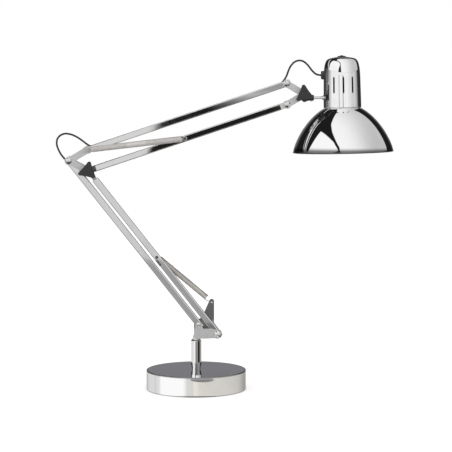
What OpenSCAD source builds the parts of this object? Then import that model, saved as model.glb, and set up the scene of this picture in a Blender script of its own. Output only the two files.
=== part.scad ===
// Balanced-arm desk lamp: a round weighted base, two arms of paired square bars held up by
// three tension springs, and a bowl shade on a tilting head.
// Millimetres. The origin is the middle of the underside of the base. X runs along the arms,
// Y across them and Z up. The arms are drawn in the pose in which the lamp stands.

/* [Base] */
// Diameter of the base cover
base_d = 160; // [130:1:200]
// Height of the base with its pad
base_h = 32.5; // [24:0.5:45]
// Sheet thickness of the base cover
cover_t = 1.2; // [0.8:0.1:2]
// Rise of the cover's top from its edge to its middle
crown = 1; // [0.4:0.1:3]
// Radius of the cover's top edge
edge_r = 1; // [0.5:0.1:3]
// Thickness of the pad under the base
pad_t = 1.5; // [1:0.1:3]
// Distance from the cover's wall to the pad's edge
pad_inset = 2; // [1:0.5:6]
// Width of the lead's channel under the weight
channel_w = 9; // [7:0.5:14]
// Height of the lead's channel under the weight
channel_h = 10; // [8.5:0.5:14]

/* [Post] */
// Diameter of the post
post_d = 17; // [15:0.5:22]
// Length of the post above the cover
post_len = 46.5; // [40:0.5:80]
// Diameter of the post's foot
foot_d = 13.6; // [11.5:0.1:15]
// Length of the taper above the foot
foot_taper = 8; // [4:0.5:12]
// Diameter of the threaded tube that holds the post down
tube_d = 10; // [8:0.1:10.5]
// Bore of the threaded tube
tube_bore = 6.5; // [5:0.1:7]
// Width across the flats of the tube's nut
nut_af = 15; // [13:0.5:18]
// Thickness of the tube's nut
nut_t = 4; // [3:0.5:6]

/* [Swivel] */
// Diameter of the spindle that turns in the post
spindle_d = 10; // [8:0.1:10.5]
// Length of the spindle inside the post
spindle_len = 32; // [20:1:36]
// Bore through the spindle for the lead
spindle_bore = 5; // [4:0.1:6]
// Wall of the plastic bush around the spindle
bush_wall = 1.2; // [0.8:0.1:1.6]
// Thickness of the bush's flange on the post
bush_flange_t = 1.2; // [0.8:0.1:2]
// Diameter of the bush's flange
bush_flange_d = 14; // [13.5:0.1:16]
// Diameter of the spindle's neck above the bush
neck_d = 12.4; // [11:0.1:14]
// Height of the spindle's neck
neck_h = 2.2; // [1.5:0.1:5]

/* [Base bracket] */
// Distance of the rear pivot from the post's axis
rear_pivot_x = 4.3; // [2:0.1:8]
// Height of the rear pivot above the spindle's neck
rear_pivot_rise = 22.4; // [20:0.1:30]
// Radius of the bracket round the rear pivot
rear_r = 7.8; // [6.5:0.1:9]
// Radius of the near plate round the rear pivot
near_r = 4.9; // [4.4:0.1:7]
// Radius of the bracket round the front pivot
front_r = 6.5; // [6:0.1:8]
// Distance of the ear's hole from the rear pivot, along X
ear_x = 20.7; // [18:0.1:24]
// Height of the ear's hole above the rear pivot
ear_z = 34.6; // [28:0.1:40]
// Radius of the ear round its hole
ear_r = 3.9; // [3.4:0.1:5]
// Diameter of the ear's hole
ear_hole_d = 2.6; // [2.2:0.1:3.4]
// Thickness of the bracket, elbow and wrist plates
plate_t = 2; // [1.5:0.1:2.5]

/* [Arms] */
// Outside width of the square bars
bar_w = 10; // [9:0.5:12]
// Wall of the square bars
bar_wall = 1; // [0.8:0.1:1.2]
// Outside corner radius of the square bars
bar_corner = 1.2; // [0.6:0.1:1.6]
// Length of the lower arm from pivot to pivot
lower_len = 334; // [250:1:400]
// Length of the upper arm from pivot to pivot
upper_len = 334; // [250:1:400]
// Angle of the lower arm, counted from the X axis
lower_angle = 128.2; // [95:0.1:131]
// Angle of the upper arm, counted from the X axis
upper_angle = 18.35; // [0:0.05:40]
// Distance between a bracket's two pivots
lever = 34.4; // [32:0.1:40]
// Angle of the line from the rear pivot to the front pivot
lever_angle = -27.4; // [-30:0.1:-20]
// Angle between the two limbs of the elbow plates
elbow_spread = 58; // [50:0.5:66]
// How far a bar runs past its pivot
bar_over = 6; // [5.5:0.1:7]
// Width of the slots that let the lead in and out
slot_w = 3.6; // [3.4:0.1:4.4]
// How far the slots reach from the pivots
slot_reach = 20; // [16:1:26]

/* [Elbow and wrist] */
// Radius of the plates round their pivots
limb_r = 6.4; // [5.6:0.1:8]
// Width of the plates' limbs
limb_w = 10.4; // [9:0.1:12]
// Distance of the head's pivot from the lower wrist pivot, along X
knuckle_x = 27; // [24:0.5:32]
// Height of the head's pivot above the lower wrist pivot
knuckle_z = 16.2; // [14:0.1:19]
// Length of the black fork that shows at the end of the lower bar
fork_len = 13; // [11:0.5:15]
// Length of the tongue that shows at the end of the front bar
tongue_len = 18; // [17:0.5:24]
// Thickness of the tongue
tongue_t = 4; // [3:0.1:5]
// Width of the tongue
tongue_w = 6.4; // [6:0.1:9]
// Length of the end fitting that shows at the wrist
fitting_len = 11; // [9:0.5:14]
// Length of the fittings' plugs inside the bars
plug_len = 15; // [10:0.5:20]

/* [Pivots and fasteners] */
// Diameter of the rivets' shanks
rivet_d = 4; // [3:0.1:4.4]
// Diameter of the rivets' heads
rivet_head_d = 10.4; // [8:0.1:11]
// Diameter of the rear pivot's flatter heads
rear_head_d = 7; // [5.6:0.1:9]
// Height of the rivets' heads
rivet_head_h = 2.4; // [1:0.1:2.6]
// Diameter of the knobs' bolts
bolt_d = 5; // [4:0.1:5.6]
// Width across the flats of bolt heads and nuts
hex_af = 9; // [8:0.5:11]
// Thickness of bolt heads and nuts
hex_t = 3.6; // [3:0.1:5]
// Diameter of the front pivot's round head
round_head_d = 12.6; // [11:0.1:14]
// Height of the front pivot's round head
round_head_h = 3.6; // [2.5:0.1:5]
// Diameter of the washers
washer_d = 11; // [10:0.5:13]
// Thickness of the washers
washer_t = 0.8; // [0.5:0.1:1.2]

/* [Knobs] */
// Reach of a knob's lobes from its middle
knob_r = 15.4; // [13:0.1:18]
// Radius of a lobe's tip
knob_tip_r = 2.8; // [2.4:0.1:3.6]
// Thickness of the knob's grip
knob_t = 8; // [6:0.5:11]
// How far the sides are drawn in between two lobes
knob_dip = 0.6; // [0.4:0.1:1.2]
// Diameter of the hub behind the grip
knob_hub_d = 12; // [11:0.5:13.5]
// Height of the hub behind the grip
knob_hub_h = 1.5; // [1:0.1:3]
// Angle of the elbow knob's first lobe
elbow_knob_turn = 78; // [0:1:119]
// Angle of the wrist knob's first lobe
wrist_knob_turn = 97; // [0:1:119]

/* [Springs] */
// Outside diameter of the springs
spring_od = 9.2; // [7:0.1:9.5]
// Diameter of the springs' wire
spring_wire = 1.3; // [1:0.1:1.6]
// Curls of each spring
spring_curls = 20; // [12:1:22]
// Distance of the springs from the middle plane
spring_y = 12.6; // [12.2:0.1:14]
// Distance of the lower springs' pin along the front bar
lower_anchor = 157.8; // [120:0.1:180]
// Distance of the upper springs' pin along the bottom bar
upper_anchor = 162.8; // [120:0.1:180]
// Diameter of the pins that the springs pull on
anchor_d = 3; // [2.5:0.1:4]
// Distance from the ear's hole to the coil of a lower spring
lower_hook = 11; // [9:0.5:14]
// Distance from the spring pin to the coil of an upper spring
upper_hook = 8; // [7:0.5:12]
// Distance from the coil's other end to the anchor pin
plug_gap = 6.5; // [6:0.1:9]
// Length of the end plug inside a coil
plug_in = 18; // [10:1:24]
// Length of the notch beside an anchor pin
anchor_slot = 11; // [8:1:18]

/* [Head] */
// Diameter of the rod between the knuckle and the cap
rod_d = 4.3; // [3.5:0.1:5]
// How far the rod lies below the head's pivot
rod_drop = 5.4; // [4.9:0.1:7]
// Distance from the head's pivot to the shade's axis at its rim
head_x = 62.3; // [58:0.1:74]
// Height of the head's pivot above the shade's rim
head_z = 91.9; // [80:0.1:100]
// Lean of the head towards the arm
head_lean = 1.2; // [0:0.1:5]
// Diameter of the cap at its lower edge
cap_d = 58; // [54:0.5:62]
// Diameter of the cap at its shoulder
cap_top_d = 52; // [48:0.5:54]
// Height of the cap
cap_h = 76.2; // [70:0.1:90]
// Radius of the cap's shoulder
cap_round = 10; // [5:0.5:14]
// Angle of the shoulder at which the crown's straight slope starts
crown_a = 75; // [65:1:84]
// Sheet thickness of the cap
cap_t = 1.2; // [0.8:0.1:1.6]
// Number of air slots on each side of the cap
vent_count = 3; // [1:2:5]
// Length of an air slot
vent_len = 25.4; // [15:0.1:32]
// Width of an air slot
vent_w = 2.8; // [2:0.1:4]
// Angle between two air slots
vent_pitch = 30; // [20:1:34]
// Height of the slots' lower ends above the cap's lower edge
vent_rise = 24.4; // [20:0.1:30]

/* [Shade] */
// Diameter of the shade at its rim
shade_d = 159; // [140:1:180]
// Sheet thickness of the shade
shade_t = 1; // [0.8:0.1:1.5]
// Height of the shade, from the rim to the cap
shade_h = 69.6; // [55:0.1:80]
// Height of the straight band at the shade's neck
neck_band = 3.2; // [1.5:0.1:5]
// How far the neck's band stands out from the cap
neck_lip = 1.4; // [0.6:0.1:2.5]
// Height of the straight band at the rim
rim_band = 3.2; // [2:0.1:6]
// Radius of the rolled bead on the rim
bead_r = 1.1; // [0.8:0.1:1.4]
// Number of facets along the bowl's profile
bowl_steps = 24; // [8:1:24]

/* [Lampholder and switch] */
// Diameter of the lampholder's body
holder_d = 36; // [34:0.5:40]
// Diameter of the lampholder's skirt, which passes through the shade
skirt_d = 39.2; // [38:0.1:41]
// Length of the skirt below the shade's collar
skirt_len = 15; // [12:0.5:18]
// Diameter of the bulb's globe
bulb_d = 45; // [40:0.5:50]
// Diameter of the bulb's screw cap
bulb_cap_d = 26.4; // [26:0.1:27]
// Diameter of the lampholder's threaded neck
neck_tube_d = 10; // [9:0.1:12]
// Diameter of the switch collar at its foot
collar_d = 16; // [14:0.5:20]
// Height of the switch collar
collar_h = 4; // [3:0.1:6]
// Diameter of the push button
button_d = 6.6; // [5:0.1:7]
// How far the button stands out of its collar
button_rise = 4; // [3:0.1:6]
// Travel of the push button
button_travel = 2.5; // [1.5:0.1:3]
// Diameter of the lead's grommet on the cap
grommet_d = 13.6; // [11:0.1:15]
// Length of the grommet outside the cap
grommet_len = 6.2; // [4:0.1:9]

/* [Lead] */
// Diameter of the lead
lead_d = 3; // [2.6:0.1:3.2]

/* [Hidden] */
$fn = 64;
eps = 0.01;
run_gap = 0.05;      // radial clearance of a shaft in a hole that it turns in
seat_gap = 0.05;     // clearance of a part pushed into another
side_gap = 0.4;      // between a bar and the plate beside it
plate_drop = 0.5;    // how far the bracket's plates reach below the top of the spindle's neck
cut = 1;             // how far a cutting shape runs past what it cuts

// Heights up the base and the post
post_top = base_h + post_len;
neck_z = post_top + bush_flange_t;
block_z = neck_z + neck_h;

// Pivots in the plane of the arms, as [x, z]
function heading(a) = [cos(a), sin(a)];
rear_pivot = [rear_pivot_x, block_z + rear_pivot_rise];
front_pivot = rear_pivot + lever * heading(lever_angle);
elbow_rear = rear_pivot + lower_len * heading(lower_angle);
elbow_front = front_pivot + lower_len * heading(lower_angle);
elbow_top = elbow_rear + lever * heading(lever_angle + elbow_spread);
wrist_top = elbow_top + upper_len * heading(upper_angle);
wrist_low = elbow_front + upper_len * heading(upper_angle);
head_pivot = wrist_low + [knuckle_x, knuckle_z];
rim_centre = head_pivot + [head_x, -head_z];
ear_hole = rear_pivot + [ear_x, ear_z];
lower_pin = front_pivot + lower_anchor * heading(lower_angle);
upper_pin = elbow_front + upper_anchor * heading(upper_angle);

// Layers across the arms
plate_in = bar_w / 2 + side_gap;
plate_out = plate_in + plate_t;
washer_out = plate_out + washer_t;
pin_end = spring_y + spring_wire / 2 + 2.6;

// Heights up the head, from the plane of the shade's rim
rod_z = head_pivot[1] - rod_drop;
cap_top = shade_h + cap_h;
neck_tube_top = cap_top + collar_h - 1.2;
vent_low = shade_h + vent_rise;
grommet_z = 122.2;
rod_h = rod_z - rim_centre[1];
cap_r_at = function (h) (cap_d - (cap_d - cap_top_d) * (h - shade_h) / cap_h) / 2;
rod_wall_x = rim_centre[0] - rod_h * sin(head_lean) - cap_r_at(rod_h);
neck_r = cap_d / 2 + neck_lip;
bowl_h = shade_h - neck_band;
bowl_k = (bowl_h - rim_band) / (pow(shade_d / 2, 2) - pow(neck_r, 2));

// Bulb and lampholder, from the bulb's cap up to the socket's end
bulb_low = 11;
bulb_centre = bulb_low + bulb_d / 2;
bulb_cap_low = shade_h - 8.6;
bulb_cap_len = 22;
glass_in = 9;              // how far the glass reaches into the bulb's cap
bulb_tip_h = 6;            // cone and contact above the bulb's cap
socket_top = bulb_cap_low + bulb_cap_len + bulb_tip_h;     // the bulb's contact bears on it
button_bore = 9;
ring_flange = (neck_r - skirt_d / 2) / 2;
ring_len = 0.6 * skirt_len;

// The lead's route through the arms, as [x, z]: chosen by hand, in the middle plane
base_route = [[-11.3, 124.6], [-8.2, 119.4], [-5.2, 113.8], [-2, 108.2], [0.9, 103], [2.4, 98.4],
    [2.3, 94], [1.4, 90], [0.5, 86], [0, 81], [0, 74], [0, 62], [0, 50]];
elbow_route = [[-187.4, 348.4], [-193.6, 353.8], [-199.8, 359.2], [-205, 365], [-209.6, 370.8],
    [-215, 377.6], [-219.4, 386], [-221.6, 394], [-220.6, 402], [-216, 407.8], [-209, 410.4],
    [-201, 409.8], [-193, 407], [-186, 403], [-179.6, 398.4], [-173.8, 394], [-168.2, 390.8],
    [-161.6, 390.2], [-154.4, 391], [-147.9, 393]];
head_route = [[117.8, 481.1], [125.2, 484], [131.4, 487.4], [137, 491.8], [141.4, 497],
    [144.6, 503], [146.8, 509.4], [149.4, 515.4], [153, 520.6], [157.4, 524.4], [162.6, 526.2],
    [168, 526], [173, 523.6], [177.4, 519.6], [181.2, 514.8], [185, 510], [189.2, 506],
    [194, 503.8], [200, 503.2], [207.4, 503.2]];
lower_lead = [26, lower_len - 24.6];   // where the straight lead runs in the rear bar
upper_lead = [26.6, upper_len - 28.6]; // and in the top bar

chrome = [0.82, 0.83, 0.85];
satin = [0.68, 0.68, 0.66];
nickel = [0.72, 0.68, 0.62];
black = [0.1, 0.1, 0.11];
dark_grey = [0.25, 0.25, 0.26];

// Places

module at_pivot(p, y = 0) {
    translate([p[0], y, p[1]]) rotate([-90, 0, 0]) children();
}

module along_bar(p, a) {
    translate([p[0], 0, p[1]]) rotate([0, -a, 0]) children();
}

module slab(y, t) {
    translate([0, y + t, 0]) rotate([90, 0, 0]) linear_extrude(t) children();
}

module on_head() {
    translate([rim_centre[0], 0, rim_centre[1]]) rotate([0, -head_lean, 0]) children();
}

// Small shapes

module ring(d, bore, h) {
    difference() {
        cylinder(d = d, h = h);
        translate([0, 0, -cut]) cylinder(d = bore, h = h + 2 * cut);
    }
}

module dome(d, h) {
    r = (d * d / 4 + h * h) / (2 * h);
    intersection() {
        translate([0, 0, h - r]) sphere(r = r);
        cylinder(d = d + 2 * cut, h = h + cut);
    }
}

module hex_prism(af, h) {
    cylinder(d = af / cos(30), h = h, $fn = 6);
}

module rounded_square(w, r) {
    square([w, w - 2 * r], center = true);
    square([w - 2 * r, w], center = true);
    for (x = [-1, 1], y = [-1, 1]) translate([x, y] * (w / 2 - r)) circle(r = r);
}

module limb(a, b, w) {
    d = b - a;
    translate(a) rotate(atan2(d[1], d[0])) translate([0, -w / 2]) square([norm(d), w]);
}

// A tube of few sides along a line of points
function unit(v) = v / norm(v);
function tangents(p) = let (n = len(p) - 1)
    [for (i = [0:n]) unit(p[min(i + 1, n)] - p[max(i - 1, 0)])];
function sides_of(t) = [for (i = 0, u = unit(cross(t[0], [0.3, 1, 0.2])); i < len(t);
    i = i + 1, u = i < len(t) ? unit(u - (u * t[i]) * t[i]) : u) u];

module swept(p, d, sides) {
    t = tangents(p);
    u = sides_of(t);
    n = len(p);
    rings = [for (i = [0:n - 1], k = [0:sides - 1]) let (a = 360 * k / sides)
        p[i] + d / 2 * (cos(a) * u[i] + sin(a) * cross(t[i], u[i]))];
    walls = [for (i = [0:n - 2], k = [0:sides - 1])
        let (a = i * sides + k, b = i * sides + (k + 1) % sides)
        each [[a, a + sides, b + sides], [a, b + sides, b]]];
    ends = [[for (k = [0:sides - 1]) k], [for (k = [0:sides - 1]) n * sides - 1 - k]];
    polyhedron(points = rings, faces = concat(walls, ends), convexity = 10);
}

module lead(route) {
    swept([for (q = route) [q[0], 0, q[1]]], lead_d, 8);
}

// Base

module base_cover() {
    rim = base_d / 2;
    top = base_h - crown;
    dome_r = (pow(rim - edge_r, 2) + crown * crown) / (2 * crown);
    flat_r = foot_d / 2;
    steps = 10;
    color(chrome) difference() {
        rotate_extrude($fn = 128) polygon(concat(
            [[0, top - cover_t], [0, base_h], [flat_r, base_h]],
            [for (i = [1:steps]) let (r = flat_r + (rim - edge_r - flat_r) * i / steps)
                [r, base_h - dome_r + sqrt(dome_r * dome_r - r * r)]],
            [for (a = [75:-15:0]) [rim - edge_r + edge_r * cos(a), top - edge_r + edge_r * sin(a)]],
            [[rim, pad_t / 2], [rim - cover_t, pad_t / 2], [rim - cover_t, top - cover_t]]));
        translate([0, 0, base_h - 2 * crown - cover_t]) cylinder(d = tube_d + 2 * seat_gap, h = 3 * crown + 3);
        translate([0, rim - 3 * cover_t, pad_t + channel_h / 2]) rotate([-90, 0, 0])
            cylinder(d = channel_w - 2, h = 6 * cover_t);
    }
}

module base_weight() {
    top = base_h - crown - cover_t;
    r = base_d / 2 - cover_t - seat_gap;
    recess_d = nut_af / cos(30) + 6;
    color([0.3, 0.3, 0.31]) difference() {
        translate([0, 0, pad_t]) cylinder(r = r, h = top - pad_t);
        translate([0, 0, -cut]) cylinder(d = tube_d + 2 * seat_gap, h = base_h);
        translate([0, 0, pad_t - cut]) cylinder(d = recess_d, h = channel_h + cut);
        translate([-channel_w / 2, 0, pad_t - cut]) cube([channel_w, r + cut, channel_h + cut]);
    }
}

module base_pad() {
    color(black) cylinder(d = base_d - 2 * (cover_t + pad_inset), h = pad_t);
}

module lead_bush() {
    wall = base_d / 2;
    color(black) translate([0, wall, pad_t + channel_h / 2]) rotate([-90, 0, 0]) difference() {
        union() {
            translate([0, 0, -cover_t - 2]) cylinder(d = channel_w - 2 - 2 * seat_gap, h = cover_t + 2);
            translate([0, 0, -cover_t - 2]) cylinder(d = channel_w - 1, h = 1.6);
            translate([0, 0, seat_gap + 0.3]) cylinder(d1 = channel_w, d2 = channel_w - 2, h = 3.5);
            cylinder(d = channel_w - 2 - 2 * seat_gap, h = 2);
        }
        translate([0, 0, -cover_t - 4]) cylinder(d = 4, h = 12);
    }
}

module post_tube() {
    foot = pad_t + 1.5;
    color([0.75, 0.62, 0.3]) translate([0, 0, foot]) ring(tube_d, tube_bore, base_h + 9 - foot);
}

module post_nut() {
    color(satin) translate([0, 0, pad_t + channel_h - nut_t]) difference() {
        hex_prism(nut_af, nut_t);
        translate([0, 0, -cut]) cylinder(d = tube_d + 2 * seat_gap, h = nut_t + 2 * cut);
    }
}

module base_post() {
    bush_od = spindle_d + 2 * (run_gap + bush_wall);
    socket = spindle_len + 2;
    color(chrome) difference() {
        rotate_extrude() polygon([[0, base_h], [foot_d / 2, base_h],
            [foot_d / 2, base_h + 1.4], [post_d / 2, base_h + foot_taper],
            [post_d / 2, post_top - 0.6], [post_d / 2 - 0.6, post_top], [0, post_top]]);
        translate([0, 0, base_h - cut]) cylinder(d = tube_d + 2 * seat_gap, h = 9 + 0.3 + cut);
        translate([0, 0, base_h]) cylinder(d = tube_bore, h = post_len);
        translate([0, 0, post_top - socket]) cylinder(d = bush_od + 2 * seat_gap, h = socket + cut);
    }
}

module swivel_bush() {
    od = spindle_d + 2 * (run_gap + bush_wall);
    color(black) translate([0, 0, post_top]) difference() {
        union() {
            translate([0, 0, -spindle_len]) cylinder(d = od, h = spindle_len + bush_flange_t);
            cylinder(d = bush_flange_d, h = bush_flange_t);
        }
        translate([0, 0, -spindle_len - cut])
            cylinder(d = spindle_d + 2 * run_gap, h = spindle_len + bush_flange_t + 2 * cut);
    }
}

// Bracket that carries the lower arm

funnel_d = 2 * plate_in - 2;

module swivel_spindle() {
    block = [[-rear_r + rear_pivot_x + 1.2, block_z], [22, block_z + 1.2], [22, block_z + 5],
        [15, block_z + 9.4], [-2, block_z + 9.4], [-rear_r + rear_pivot_x + 1.2, block_z + 6]];
    color(satin) difference() {
        union() {
            translate([0, 0, neck_z - spindle_len]) cylinder(d = spindle_d, h = spindle_len + neck_h + 4);
            translate([0, 0, neck_z]) cylinder(d = neck_d, h = neck_h - plate_drop);
            slab(-plate_in, 2 * plate_in) polygon(block);
            for (p = bracket_pins()) at_pivot(p, -plate_out) cylinder(d = rivet_d, h = 2 * plate_out);
        }
        translate([0, 0, neck_z - spindle_len - cut])
            cylinder(d = spindle_bore, h = spindle_len + neck_h + 10 + 2 * cut);
        translate([0, 0, block_z + 3]) cylinder(d1 = spindle_bore, d2 = funnel_d, h = 7);
    }
}

// Two flush pins of the spindle's block that hold the plates
function bracket_pins() = [[6, block_z + 5], [17, block_z + 4.4]];

module bracket_holes() {
    translate(rear_pivot) circle(d = rivet_d + 2 * seat_gap);
    translate(front_pivot) circle(d = bolt_d + 2 * seat_gap);
    for (p = bracket_pins()) translate(p) circle(d = rivet_d + 2 * seat_gap);
}

function bracket_foot(low) = [[rear_pivot[0] - rear_r, low + 2], [rear_pivot[0] + 2, low],
    front_pivot + front_r * heading(-110), front_pivot + front_r * heading(67)];

module bracket_near_outline() {
    low = block_z - plate_drop + 0.2;
    shelf = rear_pivot[1] - 6.4;
    difference() {
        union() {
            translate(rear_pivot) circle(r = near_r);
            translate(front_pivot) circle(r = front_r);
            polygon(concat([[rear_pivot[0] - rear_r, shelf]], bracket_foot(low),
                [[front_pivot[0] - 12, shelf], [rear_pivot[0] + near_r + 2, shelf],
                rear_pivot + [near_r, 0], rear_pivot + [-near_r, 0],
                [rear_pivot[0] - near_r - 1, shelf]]));
        }
        bracket_holes();
    }
}

module bracket_far_outline() {
    low = block_z - plate_drop + 0.2;
    difference() {
        union() {
            translate(rear_pivot) circle(r = rear_r);
            translate(front_pivot) circle(r = front_r);
            translate(ear_hole + [0, 1.6]) circle(r = ear_r);
            polygon(concat([rear_pivot + [-rear_r, 0]], bracket_foot(low),
                [[ear_hole[0] + ear_r, rear_pivot[1] + 1.6],
                ear_hole + [ear_r, 1.6],
                ear_hole + [-ear_r + 0.6, 3.2],
                ear_hole + [-8.4, -7.4],
                ear_hole + [-10.6, -13],
                [ear_hole[0] - 14, rear_pivot[1] + 14],
                rear_pivot + rear_r * heading(80)]));
        }
        bracket_holes();
        translate(ear_hole) circle(d = ear_hole_d);
    }
}

module plate_pair_side(side) {
    slab(side < 0 ? -plate_out : plate_in, plate_t) children();
}

module bracket_plate_near() {
    color(satin) plate_pair_side(-1) bracket_near_outline();
}

module bracket_plate_far() {
    color(satin) plate_pair_side(1) bracket_far_outline();
}

module rivet(p, head_d = rivet_head_d, head_h = rivet_head_h) {
    color(chrome) {
        at_pivot(p, -plate_out - eps) cylinder(d = rivet_d, h = 2 * plate_out + 2 * eps);
        at_pivot(p, plate_out) dome(head_d, head_h);
        mirror([0, 1, 0]) at_pivot(p, plate_out) dome(head_d, head_h);
    }
}

module rear_pivot_rivet() {
    rivet(rear_pivot, rear_head_d, rivet_head_h / 2);
}

module front_pivot_bolt() {
    color(chrome) {
        mirror([0, 1, 0]) at_pivot(front_pivot, plate_out) dome(round_head_d, round_head_h);
        at_pivot(front_pivot, -plate_out - eps) cylinder(d = bolt_d, h = 2 * plate_out + hex_t + 1);
    }
}

module front_pivot_nut() {
    color(chrome) at_pivot(front_pivot, plate_out) difference() {
        hex_prism(hex_af, hex_t);
        translate([0, 0, -cut]) cylinder(d = bolt_d + 2 * seat_gap, h = hex_t + 2 * cut);
    }
}

// Bars

module bar_tube(x0, x1) {
    inner = bar_w - 2 * bar_wall;
    translate([x0, 0, 0]) rotate([90, 0, 90]) linear_extrude(x1 - x0) difference() {
        rounded_square(bar_w, bar_corner);
        square([inner, inner], center = true);
    }
}

module cross_hole(x, d) {
    translate([x, bar_w, 0]) rotate([90, 0, 0]) cylinder(d = d, h = 2 * bar_w);
}

module outer_slot(x0, x1, w) {
    translate([x0, -w / 2, bar_w / 2 - bar_wall - 0.3]) cube([x1 - x0, w, bar_wall + cut]);
}

// Notch in a bar's inner side that shows the black block of the spring's anchor
module anchor_notch(x) {
    translate([x - 3.5 - anchor_slot, -bar_w, notch_z]) cube([anchor_slot, 2 * bar_w, bar_w]);
}

module lower_rear_bar() {
    l = lower_len;
    color(chrome) along_bar(rear_pivot, lower_angle) difference() {
        bar_tube(-bar_over, l + bar_over);
        cross_hole(0, rivet_d + 2 * run_gap);
        cross_hole(l, rivet_d + 2 * run_gap);
        outer_slot(-bar_over - cut, slot_reach, slot_w);
        outer_slot(l - slot_reach, l + bar_over + cut, slot_w);
    }
}

module lower_front_bar() {
    l = lower_len;
    color(chrome) along_bar(front_pivot, lower_angle) difference() {
        bar_tube(-bar_over, l - tongue_len);
        cross_hole(0, bolt_d + 2 * run_gap);
        cross_hole(lower_anchor, anchor_d + 2 * seat_gap);
        anchor_notch(lower_anchor);
    }
}

module upper_top_bar() {
    l = upper_len;
    color(chrome) along_bar(elbow_top, upper_angle) difference() {
        bar_tube(-bar_over, l + bar_over);
        cross_hole(0, rivet_d + 2 * run_gap);
        cross_hole(l, rivet_d + 2 * run_gap);
        outer_slot(2.5, slot_reach, slot_w);
        outer_slot(l - slot_reach, l - 1, slot_w);
    }
}

module upper_bottom_bar() {
    l = upper_len;
    color(chrome) along_bar(elbow_front, upper_angle) difference() {
        bar_tube(fork_len, l - fitting_len);
        cross_hole(upper_anchor, anchor_d + 2 * seat_gap);
        anchor_notch(upper_anchor);
    }
}

module bar_plug(x0, x1) {
    w = bar_w - 2 * (bar_wall + seat_gap);
    translate([x0, -w / 2, -w / 2]) cube([x1 - x0, w, w]);
}

// Ends of the front bar and the bottom bar, which share the elbow's bolt

module front_bar_tongue() {
    tip = lower_len;
    color(satin) along_bar(front_pivot, lower_angle) difference() {
        union() {
            slab(-tongue_t / 2, tongue_t) {
                translate([tip, 0]) circle(d = bar_w);
                translate([tip - tongue_len, -tongue_w / 2]) square([tongue_len, tongue_w]);
            }
            bar_plug(tip - tongue_len - plug_len, tip - tongue_len + eps);
        }
        cross_hole(tip, bolt_d + 2 * run_gap);
    }
}

module bottom_bar_fork() {
    slit = tongue_t / 2 + 0.2;
    slit_end = fork_len - 1.8;
    color(black) along_bar(elbow_front, upper_angle) difference() {
        union() {
            slab(-bar_w / 2, bar_w) {
                circle(d = bar_w);
                translate([0, -bar_w / 2]) square([fork_len - seat_gap, bar_w]);
            }
            bar_plug(fork_len - seat_gap - eps, fork_len + plug_len);
        }
        translate([-bar_w, -slit, -bar_w]) cube([bar_w + slit_end, 2 * slit, 2 * bar_w]);
        cross_hole(0, bolt_d + 2 * run_gap);
    }
}

module bottom_bar_fitting() {
    l = upper_len;
    color([0.88, 0.88, 0.86]) along_bar(elbow_front, upper_angle) difference() {
        union() {
            slab(-bar_w / 2, bar_w) {
                translate([l, 0]) circle(d = bar_w);
                translate([l - fitting_len + seat_gap, -bar_w / 2]) square([fitting_len - seat_gap, bar_w]);
            }
            bar_plug(l - fitting_len - plug_len, l - fitting_len + seat_gap + eps);
        }
        cross_hole(l, rivet_d + 2 * run_gap);
    }
}

// Springs, their pins and their end plugs

notch_z = bar_w / 2 - 3.4;

module spring_pin(p, d, near_end) {
    head = d + 2;
    color(satin) {
        at_pivot(p, -near_end) cylinder(d = d, h = near_end + pin_end);
        at_pivot(p, -near_end - 0.8) cylinder(d = head, h = 0.8 + eps);
        at_pivot(p, pin_end - eps) cylinder(d = head, h = 0.8 + eps);
    }
}

// A steel pin in a black block, which fills the notch in the bar
module spring_anchor(from, a, x, near_end) {
    w = bar_w - 2 * (bar_wall + seat_gap);
    spring_pin(from + x * heading(a), anchor_d, near_end);
    color(black) along_bar(from, a) {
        translate([x - 6 - anchor_slot, -w / 2, -w / 2]) cube([anchor_slot + 9, w, w]);
        translate([x - 3.5 - anchor_slot + seat_gap, -bar_w / 2 - 0.1, notch_z + seat_gap])
            cube([anchor_slot - 2 * seat_gap, bar_w + 0.2, bar_w / 2 - notch_z]);
    }
}

module lower_anchor() {
    spring_anchor(front_pivot, lower_angle, lower_anchor, bar_w / 2 + seat_gap);
}

module upper_anchor() {
    spring_anchor(elbow_front, upper_angle, upper_anchor, pin_end);
}

module upper_spring_pin() {
    spring_pin(elbow_top, rivet_d, pin_end);
}

// A place at the start of a spring, with X towards its other end
module along_spring(from, to, y) {
    d = to - from;
    translate([from[0], y, from[1]]) rotate([0, -atan2(d[1], d[0]), 0]) children();
}

coil_r = (spring_od - spring_wire) / 2;

function coil_points(x0, x1) = let (n = 8 * spring_curls)
    [for (i = [0:n]) [x0 + (x1 - x0) * i / n, coil_r * sin(45 * i), coil_r * cos(45 * i)]];

// Hook that goes round a pin, and leg that goes through the ear's hole
function pin_hook(pin_d, x0) = let (r = pin_d / 2 + run_gap + spring_wire / 2)
    concat([for (a = [318:-28.5:90]) [r * cos(a), 0, r * sin(a)]],
        [[0.45 * x0, 0, (r + coil_r) / 2 + 0.2], [0.85 * x0, 0, coil_r]]);
function ear_hook(inward, x0) = let (foot = spring_y - plate_in - 0.3)
    [[0, inward * foot, 0], [0, inward * (foot / 2), 0], [0.3, inward * 1.4, 0.1],
        [1.6, inward * 0.3, 0.9], [0.45 * x0, 0, 0.62 * coil_r], [0.85 * x0, 0, coil_r]];

// Least gap of a wire to itself, measured between its points
function least_gap(p, apart) = min([for (i = [0:len(p) - 1 - apart], j = [i + apart:len(p) - 1])
    norm(p[i] - p[j])]) - spring_wire;

module lower_spring() {
    l = norm(lower_pin - ear_hole);
    wire = concat(ear_hook(-1, lower_hook), coil_points(lower_hook, l - plug_gap));
    color(nickel) along_spring(ear_hole, lower_pin, spring_y) swept(wire, spring_wire, 6);
    echo("lower spring, least gap to itself in mm", least_gap(wire, 5));
}

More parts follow.
